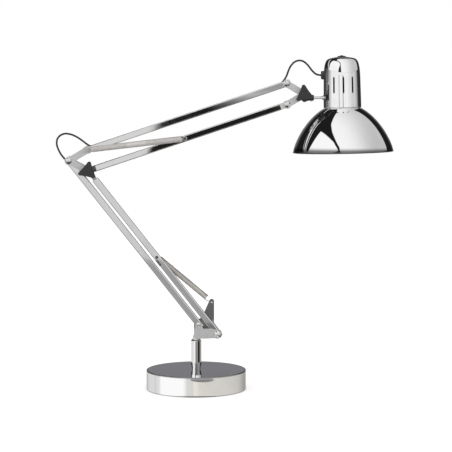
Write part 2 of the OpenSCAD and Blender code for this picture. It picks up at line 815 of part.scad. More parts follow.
module upper_spring(side) {
    l = norm(upper_pin - elbow_top);
    wire = concat(pin_hook(rivet_d, upper_hook), coil_points(upper_hook, l - plug_gap));
    color(nickel) along_spring(elbow_top, upper_pin, side * spring_y) swept(wire, spring_wire, 6);
    echo("upper spring, least gap to itself in mm", least_gap(wire, 5));
}

module spring_plugs(from, to, sides) {
    l = norm(to - from);
    bore = anchor_d + 2 * run_gap;
    eye_d = anchor_d + 4;
    plug_d = spring_od - 2 * spring_wire - 0.6;
    color(satin) for (side = sides) along_spring(from, to, side * spring_y) difference() {
        union() {
            translate([l, 1.5, 0]) rotate([90, 0, 0]) cylinder(d = eye_d, h = 3);
            translate([l - plug_gap - 1, 0, 0]) rotate([0, 90, 0]) cylinder(d = 3, h = plug_gap);
            translate([l - plug_gap - plug_in, 0, 0]) rotate([0, 90, 0]) cylinder(d = plug_d, h = plug_in);
        }
        translate([l, 2.5, 0]) rotate([90, 0, 0]) cylinder(d = bore, h = 5);
    }
}

module upper_spring_near() {
    upper_spring(-1);
}

module upper_spring_far() {
    upper_spring(1);
}

module lower_spring_plug() {
    spring_plugs(ear_hole, lower_pin, [1]);
}

module upper_spring_plugs() {
    spring_plugs(elbow_top, upper_pin, [-1, 1]);
}

// Elbow and wrist plates: two limbs that meet at a pivot

module vee_outline(corner, ends, holes) {
    difference() {
        union() {
            for (q = ends) {
                limb(corner, q, limb_w);
                translate(q) circle(r = limb_r);
            }
            translate(corner) circle(r = limb_r);
        }
        for (h = holes) translate(h[0]) circle(d = h[1] + 2 * seat_gap);
    }
}

module elbow_outline() {
    vee_outline(elbow_rear, [elbow_top, elbow_front],
        [[elbow_rear, rivet_d], [elbow_top, rivet_d], [elbow_front, bolt_d]]);
}

module wrist_outline() {
    vee_outline(head_pivot, [wrist_top, wrist_low],
        [[wrist_top, rivet_d], [wrist_low, rivet_d], [head_pivot, bolt_d]]);
}

module elbow_plate_near() {
    color(satin) plate_pair_side(-1) elbow_outline();
}

module elbow_plate_far() {
    color(satin) plate_pair_side(1) elbow_outline();
}

module wrist_plate_near() {
    color(satin) plate_pair_side(-1) wrist_outline();
}

module wrist_plate_far() {
    color(satin) plate_pair_side(1) wrist_outline();
}

module elbow_rivet() {
    rivet(elbow_rear);
}

module wrist_rivets() {
    rivet(wrist_top);
    rivet(wrist_low);
}

// Clamp bolts with their washers and three-lobed knobs

knob_back = washer_out + knob_hub_h;
bolt_end = knob_back + knob_t - 2.5;

module clamp_bolt(p) {
    color(satin) {
        at_pivot(p, -bolt_end) cylinder(d = bolt_d, h = bolt_end + washer_out + eps);
        at_pivot(p, washer_out) hex_prism(hex_af, hex_t);
    }
}

module clamp_washers(p) {
    color(satin) for (y = [-washer_out, plate_out])
        at_pivot(p, y) ring(washer_d, bolt_d + 2 * seat_gap, washer_t);
}

module knob_outline() {
    tip = knob_r - knob_tip_r;
    side = tip / 2 + knob_tip_r;
    reach = 0.9 * tip * sin(60);
    bow_r = (pow(reach, 2) + pow(knob_dip, 2)) / (2 * knob_dip);
    difference() {
        union() {
            polygon([for (a = [0, 120, 240]) tip * heading(a)]);
            for (a = [0, 120, 240]) {
                translate(tip * heading(a)) circle(r = knob_tip_r);
                limb(tip * heading(a), tip * heading(a + 120), 2 * knob_tip_r);
            }
        }
        for (a = [60, 180, 300]) translate((side - knob_dip + bow_r) * heading(a)) circle(r = bow_r);
    }
}

module clamp_knob(p, turn) {
    bevel = 0.8;
    color(black) translate([p[0], -washer_out, p[1]]) rotate([90, 0, 0]) difference() {
        union() {
            cylinder(d = knob_hub_d, h = knob_hub_h + eps);
            translate([0, 0, knob_hub_h]) rotate(turn) {
                linear_extrude(knob_t - bevel) knob_outline();
                linear_extrude(knob_t) scale(1 - bevel / knob_r) knob_outline();
            }
        }
        translate([0, 0, -cut]) cylinder(d = bolt_d + 2 * run_gap, h = bolt_end - washer_out + 0.3 + cut);
    }
}

module elbow_bolt() {
    clamp_bolt(elbow_front);
}

module elbow_washers() {
    clamp_washers(elbow_front);
}

module elbow_knob() {
    clamp_knob(elbow_front, elbow_knob_turn);
}

module wrist_bolt() {
    clamp_bolt(head_pivot);
}

module wrist_washers() {
    clamp_washers(head_pivot);
}

module wrist_knob() {
    clamp_knob(head_pivot, wrist_knob_turn);
}

// The lead, in the five stretches that the joints part it into

module cord_base() {
    color(dark_grey) lead(base_route);
}

module cord_lower() {
    color(dark_grey) along_bar(rear_pivot, lower_angle) translate([lower_lead[0], 0, 0])
        rotate([0, 90, 0]) cylinder(d = lead_d, h = lower_lead[1] - lower_lead[0]);
}

module cord_elbow() {
    color(dark_grey) lead(elbow_route);
}

module cord_upper() {
    color(dark_grey) along_bar(elbow_top, upper_angle) translate([upper_lead[0], 0, 0])
        rotate([0, 90, 0]) cylinder(d = lead_d, h = upper_lead[1] - upper_lead[0]);
}

module cord_head() {
    color(dark_grey) lead(head_route);
}

// Head

module head_knuckle() {
    boss_r = rod_d / 2 + 2.4;
    boss_end = 15.2;
    bump = [0.3, -8];
    color(black) translate([head_pivot[0], 0, head_pivot[1]]) difference() {
        union() {
            slab(-bar_w / 2, bar_w) {
                circle(r = limb_r + 0.8);
                translate(bump) circle(r = 4.2);
                limb([0, 0], bump, 7.6);
                polygon([[0, limb_r], [9, boss_r - rod_drop - 0.3], [9, -boss_r - rod_drop + 0.3],
                    [0.3, -11.4]]);
            }
            translate([5.6, 0, -rod_drop]) rotate([0, 90, 0]) cylinder(r = boss_r, h = boss_end - 5.6);
        }
        translate([0, bar_w, 0]) rotate([90, 0, 0]) cylinder(d = bolt_d + 2 * run_gap, h = 2 * bar_w);
        translate([3.6, 0, -rod_drop]) rotate([0, 90, 0]) cylinder(d = rod_d + 2 * run_gap, h = 20);
        translate([11.4, 0, -13.4]) cylinder(d = 3 + 2 * seat_gap, h = 12.4 - rod_drop);
    }
}

module knuckle_screw() {
    top = rod_z - rod_d / 2 - run_gap;
    color(satin) translate([head_pivot[0] + 11.4, 0, top - 3.6]) difference() {
        cylinder(d = 3, h = 3.6);
        translate([0, 0, -cut]) hex_prism(1.5, 1.8 + cut);
    }
}

module head_rod() {
    start = head_pivot[0] + 4;
    boss = 3;
    color(chrome) translate([start, 0, rod_z]) rotate([0, 90, 0]) {
        cylinder(d = rod_d, h = rod_wall_x + 5.4 - start);
        translate([0, 0, rod_wall_x - boss - 0.4 - start]) cylinder(d1 = rod_d + 1.6, d2 = 2 * rod_d, h = boss);
    }
}

module rod_nut() {
    color(satin) translate([rod_wall_x + cap_t + 0.6, 0, rod_z]) rotate([0, 90, 0]) difference() {
        hex_prism(7, 2.6);
        translate([0, 0, -cut]) cylinder(d = rod_d + 2 * seat_gap, h = 2.6 + 2 * cut);
    }
}

// The cap's outline up its side, round its shoulder and up its crown to the collar, drawn in by a wall
function cap_profile(inset) = let (r = cap_round - inset, x = cap_top_d / 2 - cap_round,
    rise = (x + cap_round * cos(crown_a) - collar_d / 2) / tan(crown_a),
    y = cap_top - rise - cap_round * sin(crown_a), top = cap_top - inset / sin(crown_a))
    concat([[cap_d / 2 - inset, shade_h]],
        [for (i = [0:shoulder_steps]) let (a = crown_a * i / shoulder_steps) [x + r * cos(a), y + r * sin(a)]],
        [[collar_d / 2, top], [0, top]]);

shoulder_steps = 12;

module lamp_cap() {
    color(chrome) on_head() difference() {
        rotate_extrude($fn = 96) polygon(concat([[0, shade_h]], cap_profile(0)));
        rotate_extrude($fn = 96) polygon(concat([[0, shade_h - cut]],
            [[cap_d / 2 - cap_t, shade_h - cut]], cap_profile(cap_t)));
        translate([0, 0, cap_top - 2 * cap_t]) cylinder(d = neck_tube_d + 2 * seat_gap, h = 4 * cap_t);
        for (side = [-90, 90], i = [0:vent_count - 1])
            rotate(side + (i - (vent_count - 1) / 2) * vent_pitch) vent();
        rotate([0, head_lean, 0]) translate([-cap_d, 0, rod_h]) rotate([0, 90, 0])
            cylinder(d = rod_d + 2 * seat_gap, h = cap_d - 10);
        rotate([0, head_lean, 0]) translate([-cap_d, 0, grommet_z]) rotate([0, 90, 0])
            cylinder(d = grommet_neck_d + 2 * seat_gap, h = cap_d - 10);
    }
}

module vent() {
    r = cap_d / 2 + 4;
    translate([r - 12, -vent_w / 2, vent_low + vent_w / 2]) cube([12, vent_w, vent_len - vent_w]);
    for (z = [vent_low + vent_w / 2, vent_low + vent_len - vent_w / 2])
        translate([r - 12, 0, z]) rotate([0, 90, 0]) cylinder(d = vent_w, h = 12);
}

grommet_neck_d = 8;
grommet_wall_x = -grommet_z * sin(head_lean) - cap_r_at(grommet_z);

module cap_grommet() {
    face = grommet_wall_x - 0.1;
    color(black) translate([rim_centre[0] + face, 0, rim_centre[1] + grommet_z]) rotate([0, 90, 0])
    difference() {
        union() {
            translate([0, 0, -grommet_len]) cylinder(d1 = grommet_d - 2, d2 = grommet_d, h = 1.4);
            translate([0, 0, -grommet_len + 1.4]) cylinder(d = grommet_d, h = grommet_len - 1.4);
            cylinder(d = grommet_neck_d, h = cap_t + 1.6);
        }
        translate([0, 0, -grommet_len - cut]) cylinder(d = lead_d + 0.3, h = grommet_len + cap_t + 4);
    }
}

// Shade: a paraboloid bowl between a straight neck band and a straight band with a rolled bead
function bowl_profile(inset) = [for (i = [0:bowl_steps])
    let (r = shade_d / 2 + (neck_r - shade_d / 2) * i / bowl_steps)
    [r - (inset > 0 ? inset * (1 - 0.55 * i / bowl_steps) : 0),
        rim_band + bowl_k * (pow(shade_d / 2, 2) - r * r) - (inset > 0 ? inset * i / bowl_steps : 0)]];

module shade() {
    rim = shade_d / 2;
    hole = skirt_d / 2 + 0.4;
    inner = bowl_profile(shade_t);
    color(chrome) on_head() rotate_extrude($fn = 128) {
        polygon(concat([[rim - shade_t, bead_r], [rim, bead_r]], bowl_profile(0),
            [[neck_r, shade_h], [hole, shade_h], [hole, shade_h - shade_t],
                [neck_r - shade_t, shade_h - shade_t], [neck_r - shade_t, bowl_h - shade_t / 2]],
            [for (i = [bowl_steps:-1:0]) inner[i]]));
        translate([rim - shade_t / 2, bead_r]) circle(r = bead_r, $fn = 32);
    }
}

module lampholder() {
    neck = cap_top - 18;
    inner_r = bulb_cap_d / 2 + 1.6;
    low = shade_h - shade_t - skirt_len;
    color([0.12, 0.12, 0.12]) on_head() rotate_extrude() polygon([
        [inner_r, low], [skirt_d / 2, low], [skirt_d / 2, shade_h], [skirt_d / 2 + 2.6, shade_h],
        [skirt_d / 2 + 2.6, shade_h + 3], [holder_d / 2, shade_h + 5], [holder_d / 2, neck - 6],
        [holder_d / 2 - 6, neck], [neck_tube_d / 2, neck], [neck_tube_d / 2, neck_tube_top],
        [button_d / 2 + run_gap, neck_tube_top], [button_d / 2 + run_gap, neck_tube_top - button_bore],
        [0, neck_tube_top - button_bore], [0, socket_top], [inner_r, socket_top]]);
}

module shade_ring() {
    top = shade_h - shade_t;
    bore = skirt_d / 2 + seat_gap;
    color([0.85, 0.85, 0.83]) on_head() rotate_extrude() polygon([
        [bore, top], [bore + ring_flange, top], [bore + ring_flange, top - 2], [bore + 2, top - 3],
        [bore + 2, top - ring_len], [bore, top - ring_len]]);
}

module switch_collar() {
    bore = neck_tube_d / 2 + seat_gap;
    color(dark_grey) on_head() rotate_extrude() polygon([
        [bore, cap_top], [collar_d / 2, cap_top], [collar_d / 2, cap_top + 1],
        [collar_d / 2 - 2, cap_top + collar_h - 0.4], [collar_d / 2 - 2.6, cap_top + collar_h],
        [button_d / 2 + 0.4, cap_top + collar_h], [button_d / 2 + 0.4, neck_tube_top + 0.1],
        [bore, neck_tube_top + 0.1]]);
}

module switch_button() {
    top = cap_top + collar_h + button_rise;
    foot = neck_tube_top - button_bore + button_travel + 0.6;
    color(dark_grey) on_head() {
        translate([0, 0, foot]) cylinder(d = button_d, h = top - 1 - foot + eps);
        translate([0, 0, top - 1]) dome(button_d, 1);
    }
}

glass_t = 0.8;

module bulb_body(r, inset) {
    low = bulb_centre + bulb_d / 4;
    translate([0, 0, bulb_centre]) sphere(r = bulb_d / 2 - inset);
    translate([0, 0, low]) cylinder(r = r - inset, h = bulb_cap_low + glass_in - low + inset);
}

module bulb_glass() {
    r = bulb_cap_d / 2 - 0.6 - seat_gap;
    color([0.95, 0.95, 0.92, 0.9]) on_head() difference() {
        bulb_body(r, 0);
        bulb_body(r, glass_t);
    }
}

module bulb_cap() {
    color([0.75, 0.62, 0.3]) on_head() translate([0, 0, bulb_cap_low]) {
        ring(bulb_cap_d, bulb_cap_d - 1.2, bulb_cap_len);
        translate([0, 0, bulb_cap_len - eps]) cylinder(d1 = bulb_cap_d, d2 = bulb_cap_d - 4, h = 2);
        translate([0, 0, bulb_cap_len + 2 - 2 * eps]) cylinder(d1 = 16, d2 = 9, h = bulb_tip_h - 2);
    }
}

base_cover();
base_weight();
base_pad();
base_post();
post_tube();
post_nut();
lead_bush();
swivel_bush();
swivel_spindle();
bracket_plate_near();
bracket_plate_far();
rear_pivot_rivet();
front_pivot_bolt();
front_pivot_nut();
cord_base();
lower_rear_bar();
cord_lower();
lower_front_bar();
front_bar_tongue();
lower_anchor();
lower_spring_plug();
lower_spring();
elbow_plate_near();
elbow_plate_far();
elbow_rivet();
upper_spring_pin();
elbow_bolt();
elbow_washers();
cord_elbow();
elbow_knob();
upper_top_bar();
cord_upper();
upper_bottom_bar();
bottom_bar_fork();
bottom_bar_fitting();
upper_anchor();
upper_spring_plugs();
upper_spring_near();
upper_spring_far();
wrist_plate_near();
wrist_plate_far();
wrist_rivets();
wrist_bolt();
wrist_washers();
cord_head();
wrist_knob();
head_knuckle();
knuckle_screw();
head_rod();
rod_nut();
lamp_cap();
cap_grommet();
lampholder();
shade_ring();
shade();
switch_collar();
switch_button();
bulb_glass();
bulb_cap();
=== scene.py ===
import math

import bpy
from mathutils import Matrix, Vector


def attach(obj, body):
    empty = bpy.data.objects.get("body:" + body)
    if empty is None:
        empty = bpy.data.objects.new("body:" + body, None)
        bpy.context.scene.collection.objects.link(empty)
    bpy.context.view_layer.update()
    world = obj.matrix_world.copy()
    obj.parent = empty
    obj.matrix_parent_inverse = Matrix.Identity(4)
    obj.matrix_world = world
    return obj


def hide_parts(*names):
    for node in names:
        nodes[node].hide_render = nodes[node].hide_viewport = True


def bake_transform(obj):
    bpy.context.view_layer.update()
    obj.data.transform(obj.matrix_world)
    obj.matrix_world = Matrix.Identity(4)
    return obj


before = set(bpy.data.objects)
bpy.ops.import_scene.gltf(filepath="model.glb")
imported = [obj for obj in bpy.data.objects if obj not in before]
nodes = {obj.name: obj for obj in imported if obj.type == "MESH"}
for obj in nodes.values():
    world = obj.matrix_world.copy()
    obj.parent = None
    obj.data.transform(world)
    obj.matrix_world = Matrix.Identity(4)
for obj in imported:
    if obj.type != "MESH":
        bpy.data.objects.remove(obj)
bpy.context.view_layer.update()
print("frame loaded:", len(nodes), "nodes")

mm = 0.001


# camera: level with the head and pitched down a little, without shift
view = {"place": (0.048, -2.598, 0.472), "pitch": 4.6, "lens": 129.8}

cameraData = bpy.data.cameras.new("photoCamera")
cameraData.lens = view["lens"]
cameraData.sensor_width = 36
camera = bpy.data.objects.new("photoCamera", cameraData)
camera.location = view["place"]
camera.rotation_euler = (math.radians(90 - view["pitch"]), 0, 0)
bpy.context.scene.collection.objects.link(camera)
bpy.context.scene.camera = camera


# meshes

def meshObject(name, verts, faces, smooth=True):
    mesh = bpy.data.meshes.new(name)
    mesh.from_pydata(verts, [], faces)
    mesh.validate()
    mesh.polygons.foreach_set("use_smooth", [smooth] * len(mesh.polygons))
    mesh.update()
    obj = bpy.data.objects.new(name, mesh)
    bpy.context.scene.collection.objects.link(obj)
    return obj


def smoothLine(points, steps):
    # the same points with others between them, on a curve through them all
    pts = [Vector(p) for p in points]
    line = []
    for i in range(len(pts) - 1):
        p0, p1, p2, p3 = pts[max(i - 1, 0)], pts[i], pts[i + 1], pts[min(i + 2, len(pts) - 1)]
        for s in range(steps):
            t = s / steps
            line.append(0.5 * (2 * p1 + (p2 - p0) * t + (2 * p0 - 5 * p1 + 4 * p2 - p3) * t * t
                               + (3 * p1 - p0 - 3 * p2 + p3) * t ** 3))
    return line + [pts[-1]]


def tube(name, line, radius, sides):
    verts, faces = [], []
    last = len(line) - 1
    side = None
    for i, p in enumerate(line):
        along = (line[min(i + 1, last)] - line[max(i - 1, 0)]).normalized()
        if side is None:
            side = along.cross(Vector((0.3, 1, 0.2))).normalized()
        side = (side - along * side.dot(along)).normalized()
        other = along.cross(side)
        for k in range(sides):
            a = 2 * math.pi * k / sides
            verts.append(p + radius * (math.cos(a) * side + math.sin(a) * other))
    for i in range(last):
        for k in range(sides):
            a, b = i * sides + k, i * sides + (k + 1) % sides
            faces.append((a, b, b + sides, a + sides))
    faces.append(tuple(range(sides))[::-1])
    faces.append(tuple(last * sides + k for k in range(sides)))
    return meshObject(name, verts, faces)


# the lead: routes as (x, z) points in millimetres, in the arms' middle plane
lead = {
    "diameter": 3.0, "sides": 20, "steps": 5,
    "routes": {
        "base": [(-11.3, 124.6), (-8.2, 119.4), (-5.2, 113.8), (-2, 108.2), (0.9, 103), (2.4, 98.4),
                 (2.3, 94), (1.4, 90), (0.5, 86), (0, 81), (0, 74), (0, 62), (0, 50)],
        "elbow": [(-187.4, 348.4), (-193.6, 353.8), (-199.8, 359.2), (-205, 365), (-209.6, 370.8),
                  (-215, 377.6), (-219.4, 386), (-221.6, 394), (-220.6, 402), (-216, 407.8),
                  (-209, 410.4), (-201, 409.8), (-193, 407), (-186, 403), (-179.6, 398.4),
                  (-173.8, 394), (-168.2, 390.8), (-161.6, 390.2), (-154.4, 391), (-147.9, 393)],
        "head": [(117.8, 481.1), (125.2, 484), (131.4, 487.4), (137, 491.8), (141.4, 497),
                 (144.6, 503), (146.8, 509.4), (149.4, 515.4), (153, 520.6), (157.4, 524.4),
                 (162.6, 526.2), (168, 526), (173, 523.6), (177.4, 519.6), (181.2, 514.8),
                 (185, 510), (189.2, 506), (194, 503.8), (200, 503.2), (207.4, 503.2)],
        "lowerBar": [(-11.78, 125.23), (-187.03, 347.96)],
        "upperBar": [(-147.39, 393.16), (117.23, 480.94)],
    },
    # a bent stretch crosses one joint: its route, first and last point, lay, the two bodies, and
    # the points where it leaves the first body and reaches the second
    "bent": {
        "leadBase": ("base", (0, 12), "taut", ("turret", "lower_rear"), (7, 1)),
        "leadElbowRise": ("elbow", (0, 9), "loose", ("lower_rear", "elbow"), (2, 9)),
        "leadElbowFall": ("elbow", (9, 19), "loose", ("elbow", "upper_top"), (9, 17)),
        "leadHeadRise": ("head", (0, 5), "loose", ("upper_top", "wrist"), (1, 5)),
        "leadHeadCrest": ("head", (5, 13), "loose", ("wrist", "knuckle"), (5, 13)),
        "leadHeadFall": ("head", (13, 19), "loose", ("knuckle", "head"), (13, 17)),
    },
    "straight": {"leadLowerBar": ("lowerBar", "lower_rear"), "leadUpperBar": ("upperBar", "upper_top")},
    "standsFor": {"leadBase": "cord_base", "leadElbowRise": "cord_elbow", "leadHeadRise": "cord_head",
                  "leadLowerBar": "cord_lower", "leadUpperBar": "cord_upper"},
}


def inPlane(points):
    return [Vector((x * mm, 0, z * mm)) for x, z in points]


def leadPiece(name, points):
    line = smoothLine(inPlane(points), lead["steps"])
    obj = tube(name, line, lead["diameter"] / 2 * mm, lead["sides"])
    return obj


def makeLead():
    made = {}
    for name, (route, (first, last), lay, bodies, passing) in lead["bent"].items():
        points = lead["routes"][route]
        made[name] = leadPiece(name, points[first:last + 1])
        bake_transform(made[name])
    for name, (route, body) in lead["straight"].items():
        made[name] = leadPiece(name, lead["routes"][route])
        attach(made[name], body)
    for name, node in lead["standsFor"].items():
        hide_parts(node)
    return list(made.values())


leads = makeLead()
print("lead made:", len(leads), "stretches")


# springs: each is two close-wound halves that slide into one another as the arm moves.
# nodes by the side they are on: -1 near the camera, 1 far from it
coil = {
    "outside": 9.2, "wire": 1.25, "pitch": 1.29, "ring": 20, "sides": 8,
    "pairs": {
        "lower": {"pin": (25.0, 139.4), "far": (-62.74, 212.98), "hook": 11.0,
                  "bodies": ("lower_coil", "lower_hook"), "nodes": {1: "lower_spring"}},
        "upper": {"pin": (-172.64, 384.79), "far": (-17.19, 402.70), "hook": 8.0,
                  "bodies": ("upper_coils", "upper_hooks"),
                  "nodes": {-1: "upper_spring_near", 1: "upper_spring_far"}},
    },
    "across": 12.6, "gap": 5.0, "overlap": 30.0, "pinRadius": 2.0, "pinPlay": 0.05, "steps": 4,
}


def coilLine(x0, x1, phase):
    r = (coil["outside"] - coil["wire"]) / 2
    turns = (x1 - x0) / coil["pitch"]
    count = int(turns * coil["ring"])
    line = []
    for i in range(count + 1):
        a = 2 * math.pi * turns * i / count + phase
        line.append((x0 + (x1 - x0) * i / count, r * math.sin(a), r * math.cos(a)))
    return line


def pinHook(x0):
    # open loop round the pin, then up to the first curl
    r = coil["pinRadius"] + coil["pinPlay"] + coil["wire"] / 2
    up = (coil["outside"] - coil["wire"]) / 2
    turn = [math.radians(a) for a in range(318, 80, -19)]
    loop = [(r * math.cos(a), 0, r * math.sin(a)) for a in turn]
    return loop + [(0.45 * x0, 0, (r + up) / 2 + 0.2), (0.85 * x0, 0, up)]


def earHook(inward, x0):
    # from the ear's hole across to the spring's own line, then up to the first curl
    up = (coil["outside"] - coil["wire"]) / 2
    return [(0, inward * 6.3, 0), (0, inward * 4, 0), (0, inward * 2.2, 0), (0.2, inward * 1.1, 0.1),
            (1.0, inward * 0.3, 0.5), (0.3 * x0, 0, 0.42 * up), (0.6 * x0, 0, 0.8 * up),
            (0.88 * x0, 0, up)]


def makeSprings():
    made = []
    for name, pair in coil["pairs"].items():
        pin, far = Vector(pair["pin"]), Vector(pair["far"])
        length = (far - pin).length
        along = (far - pin).normalized()
        x, z = Vector((along.x, 0, along.y)), Vector((-along.y, 0, along.x))
        for side, node in pair["nodes"].items():
            middlePlane = Vector((pin.x, side * coil["across"], pin.y))

            def place(p):
                return (middlePlane + x * p[0] + z * p[2] + Vector((0, p[1], 0))) * mm

            start, end = pair["hook"], length - coil["gap"]
            middle, half = (start + end) / 2, coil["overlap"] / 2
            hook = pinHook(start) if name == "upper" else earHook(-side, start)
            curls = coilLine(start, middle + half, 0)
            rest = coilLine(middle - half, end, math.pi)
            bend = smoothLine([place(p) for p in hook + curls[:1]], coil["steps"])
            label = name + ("Near" if side < 0 else "Far")
            radius = coil["wire"] / 2 * mm
            first = tube(label + "SpringCoil", bend[:-1] + [place(p) for p in curls], radius, coil["sides"])
            second = tube(label + "SpringTail", [place(p) for p in rest], radius, coil["sides"])
            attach(first, pair["bodies"][0])
            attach(second, pair["bodies"][1])
            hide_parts(node)
            for obj in (first, second):
                made.append(obj)
    return made


springs = makeSprings()
print("springs made:", len(springs), "halves")


# head: the skins of the bowl and the cap are turned about the head's axis
head = {"rim": (0.23461, 0, 0.3809), "lean": 1.2, "around": 264}

# the bowl swells more towards its neck than a parabola does
shade = {
    "diameter": 159.0, "height": 69.6, "sheet": 1.0, "neckRadius": 30.4, "hole": 20.0,
    "low": 2.2, "reach": 76.0, "swell": 1.32, "bead": 1.1, "steps": 72,
}


def onHead(r, h, a):
    # a place at a radius, a height above the rim and an angle round the head's axis
    lean = math.radians(head["lean"])
    across = Vector((math.cos(lean), 0, math.sin(lean)))
    axis = Vector((-math.sin(lean), 0, math.cos(lean)))
    outward = across * math.cos(a) + Vector((0, 1, 0)) * math.sin(a)
    return Vector(head["rim"]) + outward * (r * mm) + axis * (h * mm)


def bowlPoint(up, inset=0.0):
    # a point of the bowl's wall at a height above its widest ring, set in along its normal
    rim, reach, power = shade["diameter"] / 2, shade["reach"], shade["swell"]
    r = rim * math.sqrt(1 - (up / reach) ** power)
    slope = rim * rim * power * (max(up, 0.01) / reach) ** (power - 1) / (2 * reach * r)
    long = math.hypot(1, slope)
    return r - inset / long, shade["low"] + up - inset * slope / long


def shadeProfile():
    # outside from the hole down to the bead, round it, and up the inside
    top, rim, bead, sheet = shade["height"], shade["diameter"] / 2, shade["bead"], shade["sheet"]
    highest = top - shade["low"]
    heights = [highest * i / shade["steps"] for i in range(shade["steps"], -1, -1)]
    outside = [(shade["hole"], top), (shade["neckRadius"] - 1.2, top), (shade["neckRadius"] - 0.5, top)]
    outside += [bowlPoint(up) for up in heights] + [(rim, 1.6)]
    roll = [(rim - sheet / 2 + bead * math.cos(math.radians(a)), bead + bead * math.sin(math.radians(a)))
            for a in range(20, -241, -20)]
    inside = [(rim - sheet, 2 * bead + 0.4)] + [bowlPoint(up, sheet) for up in reversed(heights) if up > 1]
    inside += [(shade["hole"], top - sheet)]
    return outside + roll, inside


def skin(name, profile, isOpen=None, firstInside=None):
    # the closed profile turned round; open cells become cut-outs with walls of their own
    around, count = head["around"], len(profile)
    verts = [onHead(r, h, 2 * math.pi * k / around) for k in range(around) for r, h in profile]
    faces, second = [], []
    for k in range(around):
        a, b = k * count, (k + 1) % around * count
        for i in range(count if firstInside else count - 1):
            j = (i + 1) % count
            if isOpen is None or not isOpen(k, i):
                faces.append((a + i, a + j, b + j, b + i))
                second.append(1 if firstInside and i >= firstInside else 0)
    obj = meshObject(name, verts, faces)
    obj.data.polygons.foreach_set("material_index", second)
    return obj


def makeShade():
    outside, inside = shadeProfile()
    obj = skin("shadeSkin", outside + inside, firstInside=len(outside))
    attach(obj, "head")
    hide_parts("shade")
    return obj


shadeSkin = makeShade()
print("shade made:", len(shadeSkin.data.polygons), "faces")


# cap: near-straight wall, quick shoulder, shallow crown, three air slots on each side
cap = {
    "foot": [(28.6, 69.3), (28.6, 70.3), (29.4, 70.4), (29.8, 70.6)],
    "wall": [(29.9, 71.0), (29.85, 78.4), (29.75, 85.8), (29.6, 93.2), (29.45, 100.6), (29.3, 108.0),
             (29.15, 115.4), (28.95, 122.8), (28.55, 129.4), (27.95, 134.6), (27.1, 139.0), (26.0, 142.6),
             (24.5, 145.5), (22.5, 147.6), (20.0, 148.8), (17.0, 149.6), (13.6, 150.3), (10.0, 150.9),
             (6.8, 151.3), (4.2, 151.5)],
    "sheet": 1.0, "rows": 5,
    "slotCells": 4, "slotPitch": 22, "slotLow": 93.4, "slotHigh": 119.6, "slotEnd": 1.4,
    # height and radius of the holes on the arm's side, for the grommet and the rod
    "holes": [(122.2, 4.2), (87.0, 2.4)], "holeWall": 29.4,
    "collar": [(3.7, 150.6), (7.4, 150.6), (7.2, 151.5), (6.2, 152.2), (4.6, 152.8), (3.7, 152.8)],
}


def capOpen(middle, k):
    # is the cell at this height and step round the cap part of a slot, or of a hole on the arm's side
    around = head["around"]
    for base in (around // 4, 3 * around // 4):
        for n in (-1, 0, 1):
            off = abs(k + 0.5 - (base + n * cap["slotPitch"]))
            end = min(middle - cap["slotLow"], cap["slotHigh"] - middle)
            narrow = end < 0.6 * cap["slotEnd"]
            if end > 0 and off < cap["slotCells"] / 2 - (1 if narrow else 0):
                return True
    across = math.radians((k + 0.5) * 360 / around - 180) * cap["holeWall"]
    return any(math.hypot(across, middle - h) < r for h, r in cap["holes"])


def makeCap():
    wallLine = smoothLine([(r, 0, h) for r, h in cap["wall"]], cap["rows"])
    outer = cap["foot"] + [(p.x, p.z) for p in wallLine]
    inner = []
    for i, (r, h) in enumerate(outer):
        (r0, h0), (r1, h1) = outer[max(i - 1, 0)], outer[min(i + 1, len(outer) - 1)]
        long = math.hypot(r1 - r0, h1 - h0)
        inner.append((r - cap["sheet"] * (h1 - h0) / long, h + cap["sheet"] * (r1 - r0) / long))
    around, count = head["around"], len(outer)
    middles = [(outer[i][1] + outer[i + 1][1]) / 2 for i in range(count - 1)]
    opened = {(k, i) for k in range(around) for i in range(count - 1) if capOpen(middles[i], k)}
    parts = [skin("capSkin", outer, lambda k, i: (k, i) in opened)]
    parts.append(skin("capLining", inner, lambda k, i: (k, i) in opened))
    parts[1].data.flip_normals()
    verts, faces = [], []

    def wall(k0, i0, k1, i1):
        # a strip of sheet edge between two neighbouring corners of the grid
        start = len(verts)
        for k, i in ((k0, i0), (k1, i1)):
            a = 2 * math.pi * k / around
            verts.extend((onHead(*outer[i], a), onHead(*inner[i], a)))
        faces.append((start, start + 1, start + 3, start + 2))

    for k, i in opened:
        if ((k - 1) % around, i) not in opened:
            wall(k, i, k, i + 1)
        if ((k + 1) % around, i) not in opened:
            wall(k + 1, i + 1, k + 1, i)
        if (k, i - 1) not in opened:
            wall(k + 1, i, k, i)
        if (k, i + 1) not in opened:
            wall(k, i + 1, k + 1, i + 1)
    for k in range(around):
        wall(k, 0, k + 1, 0)
        wall(k + 1, count - 1, k, count - 1)
    parts.append(meshObject("capEdges", verts, faces, False))
    collar = skin("capCollar", cap["collar"], firstInside=len(cap["collar"]) + 1)
    for obj in (*parts, collar):
        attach(obj, "head")
    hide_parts("lamp_cap")
    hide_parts("switch_collar")
    return parts, collar


capParts, capCollar = makeCap()
print("cap made:", sum(len(obj.data.polygons) for obj in capParts), "faces")


# shader building blocks

def wire(tree, source, target):
    tree.links.new(source, target)


def newGroup(name, inputs, outputs):
    group = bpy.data.node_groups.new(name, "ShaderNodeTree")
    for label, value in inputs.items():
        kind = "NodeSocketColor" if isinstance(value, tuple) else "NodeSocketFloat"
        socket = group.interface.new_socket(label, in_out="INPUT", socket_type=kind)
        socket.default_value = value
    for label, kind in outputs.items():
        group.interface.new_socket(label, in_out="OUTPUT", socket_type=kind)
    return group, group.nodes.new("NodeGroupInput"), group.nodes.new("NodeGroupOutput")


def addNode(tree, kind, **settings):
    node = tree.nodes.new(kind)
    for key, value in settings.items():
        setattr(node, key, value)
    return node


